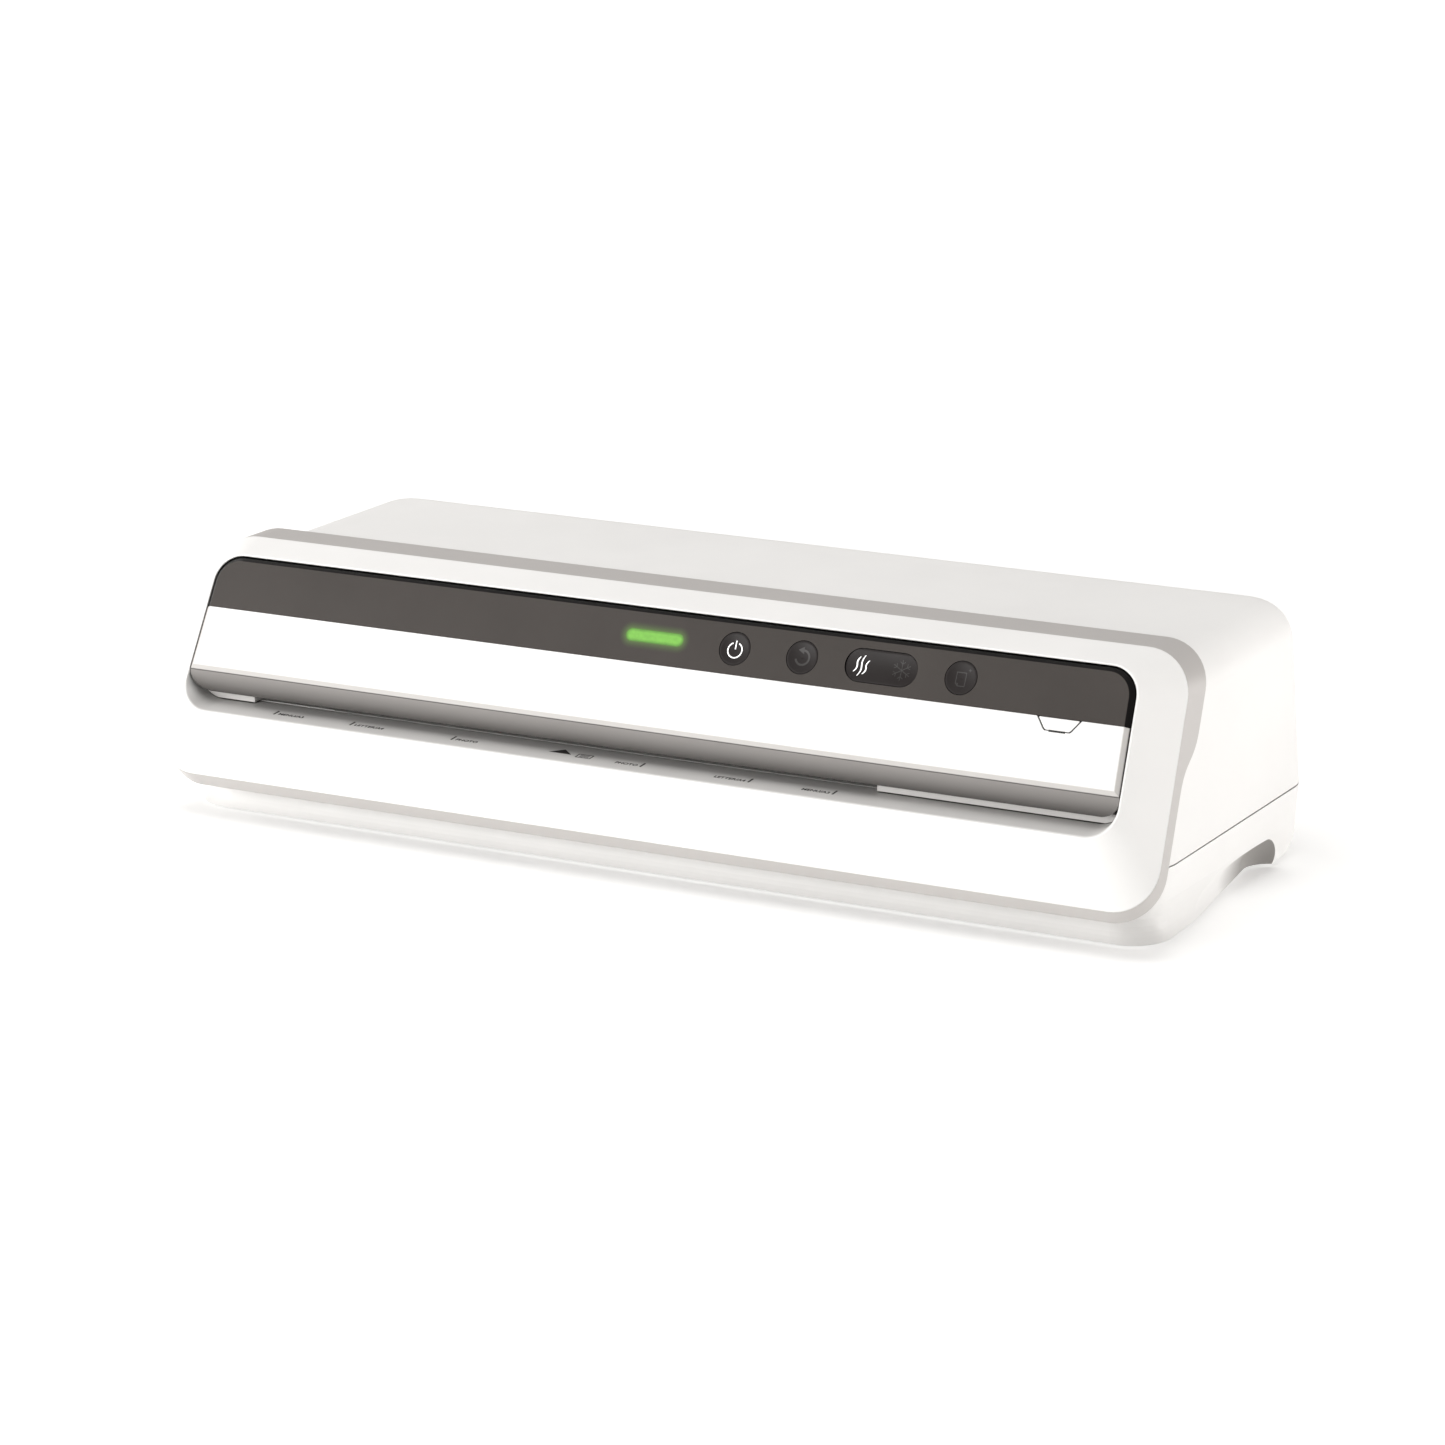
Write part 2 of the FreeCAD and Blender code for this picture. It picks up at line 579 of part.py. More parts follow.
def make_buttons():
    """Round dished caps, a long rocker cap and the light bar, all with flanges behind the strip."""
    behind = "(insert_proud - plate_thick - 0.2)"
    dish = D["insert_proud"] - 0.7 + 40
    for name, x in (("power_button", "power_x"), ("reverse_button", "reverse_x"),
                    ("page_button", "page_x")):
        cap = fuse([face_rod("button_radius", behind, "insert_proud - 0.1", x, "control_line"),
                    face_rod("button_radius + button_flange", behind + " - 1.3", behind, x, "control_line")])
        ball = doc.addObject("Part::Sphere", "Dish")
        ball.Radius = 40
        put_on_face(ball, x, "control_line", dish)
        node(name, cut(cap, [ball]))
    low = "(insert_proud - plate_thick - 0.9)"
    cap = fuse([face_pill("rocker_half", "button_radius", low, "insert_proud - 0.1", "rocker_x",
                          "control_line"),
                face_pill("rocker_half", "button_radius + button_flange", low + " - 1.3", low, "rocker_x",
                          "control_line")])
    trough = doc.addObject("Part::Cylinder", "Trough")
    trough.Radius = 40
    trough.Height = 60
    put_on_face(trough, "rocker_x - 30", "control_line", dish, TURN["x"])
    node("hot_cold_rocker", fuse([cut(cap, [trough]), face_axle(1, 21.8, low)]))
    light = fuse([face_pill("light_half", "light_radius", -5, "insert_proud", "light_x",
                            "control_line + 0.5"),
                  face_box("light_half + light_radius + 1.5", "control_line - 3.5", "control_line + 4.5",
                           -5, "insert_proud - plate_thick - 0.1", "light_x")])
    node("status_light", light)


def control_electronics():
    front = "-(board_depth - board_thick)"
    board = face_box(100, "control_line - 11", "control_line + 10", "-board_depth", front, 82)
    screw_spots = [(-12, 7), (176, 7), (60, -8)]
    holes = [face_rod(1.6, -12, -6, x, "control_line + %g" % up) for x, up in screw_spots]
    node("control_board", cut(board, holes))
    switches = []
    for x, top in (("power_x", -4.95), ("reverse_x", -4.95), ("page_x", -4.95),
                   ("rocker_x - rocker_half - 1.8", -5.4), ("rocker_x + rocker_half + 1.8", -5.4)):
        switches.append(fuse([face_box(3, "control_line - 3", "control_line + 3", front, top - 0.6, x),
                              face_rod(1.7, top - 0.6, top, x, "control_line")]))
    node("tact_switches", group(switches))
    screws = [fuse([face_rod(1.5, -15, -8.4, x, "control_line + %g" % up),
                    face_rod(2.8, -8.4, -6.6, x, "control_line + %g" % up)]) for x, up in screw_spots]
    node("board_screws", group(screws))
    posts = [cut(face_rod(4, -16, -10, x, "control_line + %g" % up),
                 [face_rod(1.5, -16.5, -9, x, "control_line + %g" % up)]) for x, up in screw_spots]
    rail = face_box(104, "control_line - 14", "control_line + 13", -18.5, -16, 82)
    node("board_carrier", fuse([rail] + posts))


# ---------------------------------------------------------------- body shells

BASE_SCREWS = [(x, y) for x in (-238, -30, 226) for y in (52, 194)]
FRONT_OPEN_HALF = 234


def side_scoop(grow):
    """A finger recess low on the right side: a groove that fades forwards, with a round rear end."""
    radius = 14 + grow
    start, end = V(268, 75, 6.5), V(258, 159.5, 1.5)
    along = end - start
    return Part.makeCylinder(radius, along.Length, start, along).fuse(Part.makeSphere(radius, end))


def mirrored(shape):
    return shape.mirror(V(0, 0, 0), V(1, 0, 0))


def seam_groove():
    """The shadow groove round the outside of the base, just under the joint."""
    rings = []
    for grow in (3, -D["seam_deep"]):
        sections = [body_section(z, D["body_half"], D["body_half"], D["body_front"], D["body_rear"], grow)
                    for z in (D["seam_z"] - D["seam_gap"], D["seam_z"] + 1)]
        rings.append(loft(sections))
    return rings[0].cut(rings[1])


def make_base():
    wall = D["wall"]
    outer = base_solid(0)
    inner = base_solid(-wall)
    floor_cut = Part.makeBox(600, 400, 200, V(-300, -50, wall))
    shell = outer.cut(inner.common(floor_cut))
    block = outer.cut(shell)
    for scoop, cavity in ((side_scoop(wall), side_scoop(0)),
                          (mirrored(side_scoop(wall)), mirrored(side_scoop(0)))):
        shell = shell.fuse(scoop.common(block)).cut(cavity)
    lift = V(0, 0, wall - 0.1)
    for x, y in BASE_SCREWS:
        post = Part.makeCylinder(4.5, 15, V(x, y, 0) + lift)
        shell = shell.fuse(post).cut(Part.makeCylinder(2.1, 40, V(x, y, -10)))
    gland = Part.makeCylinder(8.2, 40, V(D["gland_x"], 185, D["gland_z"]), V(0, 1, 0))
    shell = shell.cut(gland).cut(seam_groove())
    vents = [Part.makeBox(4, 46, 10, V(-140 + 16 * k, 68, -3)) for k in range(13)]
    return feature(shell.cut(vents[0].multiFuse(vents[1:])))


def make_cover():
    wall = D["wall"]
    inner = cover_solid(-wall, D["seam_z"] - 5)
    shell = cover_solid(0).cut(inner)
    shell = shell.common(behind_face(-24))
    shell = shell.cut(Part.makeBox(2 * FRONT_OPEN_HALF, 30, 60, V(-FRONT_OPEN_HALF, 20, 30)))
    width = 2 * D["slot_half"] + 10.8
    slot = Part.makeBox(width, 60, 14.6, V(D["path_x"] - width / 2, 180, D["nip_z"] - 7.3))
    vents = []
    for row in (84, 94):
        for k in range(22):
            vents.append(Part.makeBox(11, 60, 3.2, V(-170 + 16 * k, 175, row)))
    return feature(shell.cut(slot).cut(vents[0].multiFuse(vents[1:])))


def make_small_shell_parts():
    feet = []
    for x in (-228, 228):
        for y in (74, 172):
            feet.append(rod("z", "foot_radius", "foot_lift", x, y, "-foot_lift"))
    node("rubber_feet", group(feet))
    screws = [fuse([rod("z", 3.6, 1.3, x, y, -1.3), rod("z", 2, 14, x, y, -0.5)]) for x, y in BASE_SCREWS]
    node("base_screws", group(screws))
    bush = fuse([rod("y", 8, 7.4, "gland_x", "body_rear - 7", "gland_z"),
                 rod("y", 10, 2, "gland_x", "body_rear - 7", "gland_z")])
    node("cord_gland", cut(bush, [rod("y", "gland_bore", 40, "gland_x", "body_rear - 30", "gland_z")]))


# ---------------------------------------------------------------- feed path

def make_guides():
    half = "(frame_half - 0.3)"
    width = "2 * " + half
    x = "path_x - " + half
    front = "shelf_depth + 0.3"
    lower = padded([(front, "slot_low - 2.6"), (50, "nip_z - 3.2"), (50, "nip_z - 1.2"), (34, "slot_low"),
                    (front, "slot_low")], width, x)
    end = 231
    cavity = feature(sweep_back(window_outline(-0.3, 0), 60, 8))
    tall = "slot_high - slot_low - 0.1"
    left = "path_x - slot_half"
    right = "path_x + slot_half"
    low = "slot_low + 0.2"
    blocks = [box(left + " + %g" % end, 16, tall, -end, "stop_front", low),
              box("%g - (%s)" % (end, right), 16, tall, right, "stop_front", low),
              common(box(30, 9.2, tall, -end - 20, "stop_front", low), cavity),
              common(box(30, 9.2, tall, end - 10, "stop_front", low), cavity)]
    wings = [box(60, 8, 2.8, -end, front, "slot_low - 2.6"),
             box(108, 8, 2.8, end - 108, front, "slot_low - 2.6")]
    node("feed_guide_lower", fuse([lower] + blocks + wings))
    upper = padded([(32.3, "slot_high + 2.5"), (50, "nip_z + 1.2"), (50, "nip_z + 3"), (36, "slot_high + 6"),
                    (32.3, "slot_high + 6")], width, x)
    node("feed_guide_upper", upper)
    node("exit_guide_lower", padded([(133.5, "nip_z - 4.8"), (207, "nip_z - 6.6"), (207, "nip_z - 2.3"),
                                     (138, "nip_z - 2.3"), (133.5, "nip_z - 2.8")], "2 * (slot_half + 4)",
                                    "path_x - slot_half - 4"))
    node("exit_guide_upper", padded([(133.5, "nip_z + 4.8"), (133.5, "nip_z + 2.8"), (138, "nip_z + 2.5"),
                                     (206, "nip_z + 2.5"), (206, "nip_z + 6.6")], "2 * (slot_half + 4)",
                                    "path_x - slot_half - 4"))


ROLLERS = [(place + "_" + level, "roller_" + place, sign) for place in ("front", "rear")
           for level, sign in (("lower", "-"), ("upper", "+"))]


def make_rollers():
    for name, y, sign in ROLLERS:
        z = "nip_z %s axis_half" % sign
        left = "-(frame_half + 8)"
        right = "frame_half + gear_start + gear_width + 2"
        shaft = turned([(left, 0), (right, 0), (right, "journal_radius"),
                        ("sleeve_half + 2", "journal_radius"), ("sleeve_half + 2", "core_radius"),
                        ("-(sleeve_half + 2)", "core_radius"), ("-(sleeve_half + 2)", "journal_radius"),
                        (left, "journal_radius")], "path_x", y, z)
        node(name + "_shaft", shaft)
        sleeve = turned([("-sleeve_half", "core_radius"), ("sleeve_half", "core_radius"),
                         ("sleeve_half", "roller_radius - 0.4"), ("sleeve_half - 0.4", "roller_radius"),
                         ("0.4 - sleeve_half", "roller_radius"), ("-sleeve_half", "roller_radius - 0.4")],
                        "path_x", y, z)
        node(name + "_sleeve", sleeve)


def make_bushes():
    lower = []
    for y in ("roller_front", "roller_rear"):
        for side in (-1, 1):
            middle = "path_x + %d * (frame_half + frame_thick / 2)" % side
            ring = fuse([rod("x", 6.4, 6, middle + " - 3", y, "nip_z - axis_half"),
                         rod("x", 8.5, 1.5, middle + (" + 1.1" if side < 0 else " - 2.6"), y,
                             "nip_z - axis_half")])
            bore = rod("x", "journal_radius + running_gap", 12, middle + " - 6", y, "nip_z - axis_half")
            lower.append(cut(ring, [bore]))
    node("lower_bushes", group(lower))
    for place in ("front", "rear"):
        blocks = []
        springs = []
        y = "roller_" + place
        for side in (-1, 1):
            middle = "path_x + %d * (frame_half + frame_thick / 2)" % side
            block = box("block_thick", "2 * block_half", "2 * block_half", middle + " - block_thick / 2",
                        y + " - block_half", "nip_z + axis_half - block_half")
            bore = rod("x", "journal_radius + running_gap", 20, middle + " - 10", y, "nip_z + axis_half")
            blocks.append(cut(block, [bore]))
            springs.append(coil_spring(middle, y, "nip_z + axis_half + block_half + spring_wire"))
        node(place + "_bearing_blocks", group(blocks))
        node(place + "_pressure_springs", group(springs))


def coil_spring(x, y, z):
    turns = 5
    path = doc.addObject("Part::Helix", "Helix")
    bind(path, "Radius", "spring_radius")
    bind(path, "Height", "spring_length - 2 * spring_wire")
    bind(path, "Pitch", "(spring_length - 2 * spring_wire) / %d" % turns)
    put(path, x, y, z)
    wire = doc.addObject("Part::Circle", "Wire")
    bind(wire, "Radius", "spring_wire")
    put(wire, "(%s) + spring_radius" % x, y, z, FreeCAD.Rotation(V(1, 0, 0), 90))
    sweep = doc.addObject("Part::Sweep", "Coil")
    sweep.Sections = [wire]
    sweep.Spine = (path, [])
    sweep.Solid = True
    sweep.Frenet = True
    return sweep


def make_frames():
    for name, x, way in (("side_frame_left", "path_x - frame_half - frame_thick", -1),
                         ("side_frame_right", "path_x + frame_half", 1)):
        outline = [("frame_front", "frame_low"), ("frame_rear", "frame_low"), ("frame_rear", 52),
                   ("frame_rear - 24", "frame_high"), ("frame_front + 10", "frame_high"),
                   ("frame_front", "frame_high - 18")]
        bushes = [("roller_front", "nip_z - axis_half", 6.5), ("roller_rear", "nip_z - axis_half", 6.5)]
        rods = [(place_y, place_z, 3.1) for place_y, place_z in TIE_RODS]
        plate = padded(outline, "frame_thick", x, bushes + rods)
        slots = [box(6, "2 * (block_half + block_gap)", "2 * block_half + block_gap + spring_length + 1.2",
                     x + " - 2", y + " - block_half - block_gap",
                     "nip_z + axis_half - block_half - block_gap")
                 for y in ("roller_front", "roller_rear")]
        foot_x = x + (" - 12" if way < 0 else " + frame_thick - 0.1")
        foot = box(12.1, "frame_rear - frame_front", 2, foot_x, "frame_front", "frame_low")
        holes = [rod("z", 2.3, 8, x + (" - 6" if way < 0 else " + frame_thick + 6"), y, 0) for y in (50, 176)]
        window = box(6, "heater_rear - heater_front - 8", 6, x + " - 2", "heater_front + 4", "nip_z + 18")
        node(name, cut(fuse([plate, foot]), slots + holes + [window]))
    rods = []
    for y, z in TIE_RODS:
        length = "2 * (frame_half + frame_thick)"
        bar = rod("x", 5, "2 * frame_half", "path_x - frame_half", y, z)
        pin_through = rod("x", 3, length + " + 6", "path_x - frame_half - frame_thick - 3", y, z)
        rods.append(fuse([bar, pin_through]))
    node("tie_rods", group(rods))
    screws = []
    for side in (-1, 1):
        for y in (50, 176):
            x = "path_x + %d * (frame_half + frame_thick + 6)" % side
            screws.append(fuse([rod("z", 3.6, 2, x, y, "frame_low + 2"),
                                rod("z", 2, 2.1, x, y, "frame_low")]))
    node("frame_screws", group(screws))


TIE_RODS = [(44, 24), (172, 24), (150, 84)]


# ---------------------------------------------------------------- heating

def make_heating():
    length = "2 * heater_half"
    x = "path_x - heater_half"
    wide = "heater_rear - heater_front"
    elements = []
    shields = []
    for name, bottom, element, shield, way in (
            ("lower", "nip_z - heater_gap - heater_thick", "nip_z - heater_gap - heater_thick - 1.5",
             "nip_z - 24", -1),
            ("upper", "nip_z + heater_gap", "nip_z + heater_gap + heater_thick", "nip_z + 23", 1)):
        plate = box(length, wide, "heater_thick", x, "heater_front", bottom)
        ribs = []
        if way > 0:
            ribs = [box(length, 3, 4, x, "heater_front + %g" % offset, bottom + " + heater_thick")
                    for offset in (0, 39)]
        else:
            ribs = [box(length, 3, 4, x, "heater_front + %g" % offset, bottom + " - 4") for offset in (0, 39)]
        node("heating_plate_" + name, fuse([plate] + ribs))
        elements.append(box("2 * heater_half - 12", 30, 1.5, x + " + 6", "heater_front + 6", element))
        sheet_top = box("2 * frame_half - 1", "heater_rear - heater_front + 6", 1,
                        "path_x - frame_half + 0.5", "heater_front - 3", shield)
        flange_z = shield + (" - 6" if way > 0 else "")
        flanges = [box("2 * frame_half - 1", 1, 7, "path_x - frame_half + 0.5", "heater_front - 3 + %g" % off,
                       flange_z) for off in (0, 47)]
        shields.append(fuse([sheet_top] + flanges))
    node("heater_elements", group(elements))
    node("heat_shields", group(shields))
    blocks = []
    for side in (-1, 1):
        for level in ("nip_z - heater_gap - heater_thick", "nip_z + heater_gap"):
            start = "path_x - frame_half" if side < 0 else "path_x + heater_half"
            blocks.append(box("frame_half - heater_half", 30, "heater_thick", start, "heater_front + 6",
                              level))
    node("plate_insulators", group(blocks))
    cap = fuse([rod("z", 8, 6, "path_x + 30", "heater_front + 21", "nip_z + heater_gap + heater_thick + 1.5"),
                rod("z", 4, 3, "path_x + 30", "heater_front + 21", "nip_z + heater_gap + heater_thick + 7")])
    node("thermostat", cap)


# ---------------------------------------------------------------- drive

def involute(angle):
    return math.tan(angle) - angle


def gear_shape(teeth, width, phase, bore, hub=0.0):
    """A spur gear along x with involute teeth; phase turns its first tooth from +y towards +z."""
    module = D["gear_module"]
    pitch = module * teeth / 2
    tip = pitch + 0.9 * module
    root = pitch - 1.25 * module
    pressure = math.radians(20)
    base = pitch * math.cos(pressure)
    backlash = 0.10 * module
    half_tooth = math.pi / (2 * teeth) - backlash / (2 * pitch)
    start = max(base, root + 0.2)
    points = []
    for k in range(teeth):
        middle = phase + 2 * math.pi * k / teeth
        flank = []
        for step in range(4):
            radius = start + (tip - start) * step / 3
            reach = half_tooth + involute(pressure) - involute(math.acos(min(1.0, base / radius)))
            flank.append((radius, reach))
        flank = [(root, flank[0][1])] + flank
        for radius, reach in flank:
            points.append((radius, middle - reach))
        for radius, reach in reversed(flank):
            points.append((radius, middle + reach))
    ring = [V(0, radius * math.cos(angle), radius * math.sin(angle)) for radius, angle in points]
    body = Part.Face(Part.Wire(polyline(ring))).extrude(V(width, 0, 0))
    if hub:
        body = body.fuse(Part.makeCylinder(hub, width + 2, V(0, 0, 0), V(1, 0, 0)))
    return body.cut(Part.makeCylinder(bore, width + 4, V(-1, 0, 0), V(1, 0, 0)))


def meshed_phase(teeth, phase, centre, other_teeth, other_centre):
    """The phase of a gear at other_centre that meshes with one at centre."""
    line = math.atan2(other_centre[1] - centre[1], other_centre[0] - centre[0])
    offset = teeth / (2 * math.pi) * (phase - line) + 0.5
    return line + math.pi - 2 * math.pi / other_teeth * offset


def place_gear(name, shape, x, centre):
    gear = feature(shape, "Gear")
    gear.Placement = FreeCAD.Placement(V(x, D["front_y"] + centre[0], D["foot_lift"] + centre[1]),
                                       FreeCAD.Rotation())
    return node(name, gear)


def make_drive():
    module = D["gear_module"]
    roller_teeth, idler_teeth, pinion_teeth = (int(D[key]) for key in
                                               ("roller_teeth", "idler_teeth", "pinion_teeth"))
    low, high = D["nip_z"] - D["axis_half"], D["nip_z"] + D["axis_half"]
    front, rear = D["roller_front"], D["roller_rear"]
    x = D["path_x"] + D["frame_half"] + D["gear_start"]
    reach = module * (roller_teeth + idler_teeth) / 2
    drop = math.sqrt(reach ** 2 - ((rear - front) / 2) ** 2)
    idler = ((front + rear) / 2, low - drop)
    pinion = (idler[0] + module * (pinion_teeth + idler_teeth) / 2, idler[1])
    idler_phase = 0.0
    bore = D["journal_radius"]
    phases = {}
    for place, y in (("front", front), ("rear", rear)):
        phases[place] = meshed_phase(idler_teeth, idler_phase, idler, roller_teeth, (y, low))
        upper = meshed_phase(roller_teeth, phases[place], (y, low), roller_teeth, (y, high))
        place_gear(place + "_lower_gear", gear_shape(roller_teeth, D["gear_width"], phases[place], bore), x,
                   (y, low))
        place_gear(place + "_upper_gear", gear_shape(roller_teeth, D["gear_width"], upper, bore), x,
                   (y, high))
    lightening = gear_shape(idler_teeth, D["idler_width"], idler_phase, bore + D["running_gap"], 8)
    for k in range(6):
        angle = math.pi / 3 * k
        hole = Part.makeCylinder(4.5, 40, V(-5, 15 * math.cos(angle), 15 * math.sin(angle)), V(1, 0, 0))
        lightening = lightening.cut(hole)
    place_gear("idler_gear", lightening, x, idler)
    frame_face = D["path_x"] + D["frame_half"]
    stud = Part.makeCylinder(bore, x - frame_face + D["idler_width"] + 4, V(frame_face + 2, *idler),
                             V(1, 0, 0))
    collar = Part.makeCylinder(7, x - frame_face - 2.4, V(frame_face + 2, *idler), V(1, 0, 0))
    node("idler_stud", feature(stud.fuse(collar)))
    pinion_x = x + 9
    phase = meshed_phase(idler_teeth, idler_phase, idler, pinion_teeth, pinion)
    tooth_part = gear_shape(pinion_teeth, D["gear_width"], phase, 0.5)
    spindle = Part.makeCylinder(2.5, D["gear_width"] + 7, V(0, 0, 0), V(1, 0, 0))
    place_gear("motor_pinion", tooth_part.fuse(spindle), pinion_x, pinion)
    bracket_x = pinion_x + D["gear_width"] + 2.5
    plate = Part.makeBox(2, 52, 50, V(bracket_x, pinion[0] - 27, pinion[1] - 24))
    foot = Part.makeBox(14, 52, 2, V(bracket_x, pinion[0] - 27, pinion[1] - 24))
    hole = Part.makeCylinder(2.9, 10, V(bracket_x - 4, *pinion), V(1, 0, 0))
    posts = []
    for dy, dz in ((-4, -20), (22, -20), (22, 22)):
        start = V(frame_face + D["frame_thick"], pinion[0] + dy, pinion[1] + dz)
        posts.append(Part.makeCylinder(3, bracket_x - start.x, start, V(1, 0, 0)))
    node("motor_bracket", feature(plate.fuse([foot] + posts).cut(hole)))
    gearbox = Part.makeCylinder(19, 16, V(bracket_x + 2, *pinion), V(1, 0, 0))
    gearbox = gearbox.cut(Part.makeCylinder(2.6, 6, V(bracket_x + 1, *pinion), V(1, 0, 0)))
    node("motor_gearbox", feature(gearbox))
    can = Part.makeCylinder(16, 34, V(bracket_x + 18, *pinion), V(1, 0, 0))
    tail = Part.makeCylinder(5, 4, V(bracket_x + 52, *pinion), V(1, 0, 0))
    node("drive_motor", feature(can.fuse(tail)))


def make_power_board():
    board = box(76, 46, "board_thick", 140, 155, 12)
    spots = [(145, 160), (211, 160), (145, 196), (211, 196)]
    node("power_board", cut(board, [rod("z", 1.6, 8, x, y, 9) for x, y in spots]))
    posts = [fuse([rod("z", 3.5, 9.4, x, y, 2.6), rod("z", 1.5, 4, x, y, 10)]) for x, y in spots]
    node("board_posts", group(posts))
    parts = [box(30, 26, 22, 172, 162, 13.6), rod("z", 7, 24, 158, 186, 13.6), box(16, 8, 15, 184, 190, 13.6),
             box(10, 18, 12, 152, 158, 13.6)]
    node("power_board_parts", group(parts))


node("front_bezel", front_bezel())
node("bezel_band", bezel_band())
make_insert()
make_buttons()
control_electronics()
node("base_shell", make_base())
node("top_cover", make_cover())
make_small_shell_parts()
make_guides()
make_rollers()
make_bushes()
make_frames()
make_heating()
make_drive()
make_power_board()
doc.recompute()

for item in doc.Objects:
    if "Invalid" in item.State or "Error" in item.State:
        raise RuntimeError("failed: %s %s" % (item.Label, item.State))
os.makedirs("parts", exist_ok=True)
for name, item in NODES.items():
    shape = item.Shape
    if shape.isNull() or not shape.isValid() or not shape.Solids:
        raise RuntimeError("bad shape: " + name)
    shape.exportStep("parts/%s.step" % name)
print("nodes", len(NODES))
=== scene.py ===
import json
import math

import bpy
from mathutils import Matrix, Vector
from mathutils.bvhtree import BVHTree


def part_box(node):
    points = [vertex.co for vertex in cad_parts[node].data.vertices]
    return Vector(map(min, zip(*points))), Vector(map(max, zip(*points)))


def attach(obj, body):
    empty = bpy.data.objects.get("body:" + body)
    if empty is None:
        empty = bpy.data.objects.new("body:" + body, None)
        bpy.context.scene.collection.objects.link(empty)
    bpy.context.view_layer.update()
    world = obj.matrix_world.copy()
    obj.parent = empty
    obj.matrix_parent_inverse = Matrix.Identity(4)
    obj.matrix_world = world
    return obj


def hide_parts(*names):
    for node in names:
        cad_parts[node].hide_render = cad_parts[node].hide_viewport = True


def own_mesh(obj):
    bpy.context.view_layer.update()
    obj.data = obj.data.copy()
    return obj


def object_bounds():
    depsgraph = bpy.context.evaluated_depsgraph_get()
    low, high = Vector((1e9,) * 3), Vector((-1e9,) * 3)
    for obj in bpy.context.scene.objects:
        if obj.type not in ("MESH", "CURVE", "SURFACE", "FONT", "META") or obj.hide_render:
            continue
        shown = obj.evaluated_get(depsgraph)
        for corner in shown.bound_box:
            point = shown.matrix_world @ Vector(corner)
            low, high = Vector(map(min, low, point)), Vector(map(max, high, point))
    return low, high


MM = 0.001

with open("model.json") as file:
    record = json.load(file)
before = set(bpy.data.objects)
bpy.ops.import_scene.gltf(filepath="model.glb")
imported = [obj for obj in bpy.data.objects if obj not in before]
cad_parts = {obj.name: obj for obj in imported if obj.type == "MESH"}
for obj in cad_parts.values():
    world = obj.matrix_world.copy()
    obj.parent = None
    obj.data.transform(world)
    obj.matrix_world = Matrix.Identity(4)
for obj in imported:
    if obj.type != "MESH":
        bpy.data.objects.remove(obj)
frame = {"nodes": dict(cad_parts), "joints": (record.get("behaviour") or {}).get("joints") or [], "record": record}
cad_low, cad_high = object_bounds()
joints = {joint["name"]: joint for joint in frame["joints"]}


# ---------------------------------------------------------------- the sloping face

OUTWARD = -Vector(joints["power_press"]["axis"])
UPWARD = Vector(joints["hot_cold_rock"]["axis"])
ROCKER_PIVOT = Vector(joints["hot_cold_rock"]["pos_m"])
STRIP_ABOVE_PIVOT = 4.9 * MM
LINE_ORIGIN = Vector((0, ROCKER_PIVOT.y, ROCKER_PIVOT.z)) + OUTWARD * STRIP_ABOVE_PIVOT


def on_face(x, along, out):
    """A point in metres: x across, along up the face from the control line, out from the strip."""
    return LINE_ORIGIN + Vector((x, 0, 0)) + UPWARD * along + OUTWARD * out


def centre_of(node):
    low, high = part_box(node)
    return (low + high) / 2


# ---------------------------------------------------------------- camera, floor and lights

AZIMUTH = math.radians(28.0)
ELEVATION = math.radians(14.98)
DISTANCE = 2.3068
AIM = Vector((-0.0023, -0.0055, 0.0549))
LENS = 120.08
SENSOR_WIDTH = 36
LIGHTS_AIM = Vector((0, 0, 0.05))
FLOOR_REACH = 30.0


def look(obj, target):
    obj.rotation_euler = (target - obj.location).to_track_quat("-Z", "Y").to_euler()


def make_camera():
    data = bpy.data.cameras.new("camera")
    data.lens = LENS
    data.sensor_width = SENSOR_WIDTH
    data.clip_start = 0.05
    data.clip_end = 50
    camera = bpy.data.objects.new("camera", data)
    back = Vector((math.sin(AZIMUTH) * math.cos(ELEVATION), -math.cos(AZIMUTH) * math.cos(ELEVATION),
                   math.sin(ELEVATION)))
    camera.location = AIM + back * DISTANCE
    look(camera, AIM)
    bpy.context.scene.collection.objects.link(camera)
    bpy.context.scene.camera = camera


def area_light(name, azimuth, elevation, distance, size, power, colour=(1, 1, 1), height=None):
    """A soft rectangular light round the object: azimuth 0 is in front, 90 to the right."""
    data = bpy.data.lights.new(name, "AREA")
    data.shape = "RECTANGLE"
    data.size = size
    data.size_y = height or size
    data.energy = power
    data.color = colour
    light = bpy.data.objects.new(name, data)
    turn, rise = math.radians(azimuth), math.radians(elevation)
    light.location = Vector((math.sin(turn) * math.cos(rise), -math.cos(turn) * math.cos(rise),
                             math.sin(rise))) * distance
    look(light, LIGHTS_AIM)
    bpy.context.scene.collection.objects.link(light)


def make_lights():
    area_light("key_front_left", -38, 16, 2.3, 1.8, 30, (1.0, 0.995, 0.985), height=0.9)
    area_light("side_right", 114, 9, 2.2, 1.6, 15.5, (1.0, 0.975, 0.955), height=0.5)
    area_light("left_fill", 262, 40, 2.2, 1.2, 5.5, (1.0, 0.98, 0.96), height=0.6)
    area_light("top_soft", -10, 80, 2.0, 1.2, 17)
    world = bpy.data.worlds.new("studio")
    world.use_nodes = True
    background = world.node_tree.nodes["Background"]
    background.inputs["Color"].default_value = (1.0, 0.975, 0.95, 1)
    background.inputs["Strength"].default_value = 0.38
    bpy.context.scene.world = world
    bpy.context.scene.view_settings.view_transform = "Standard"


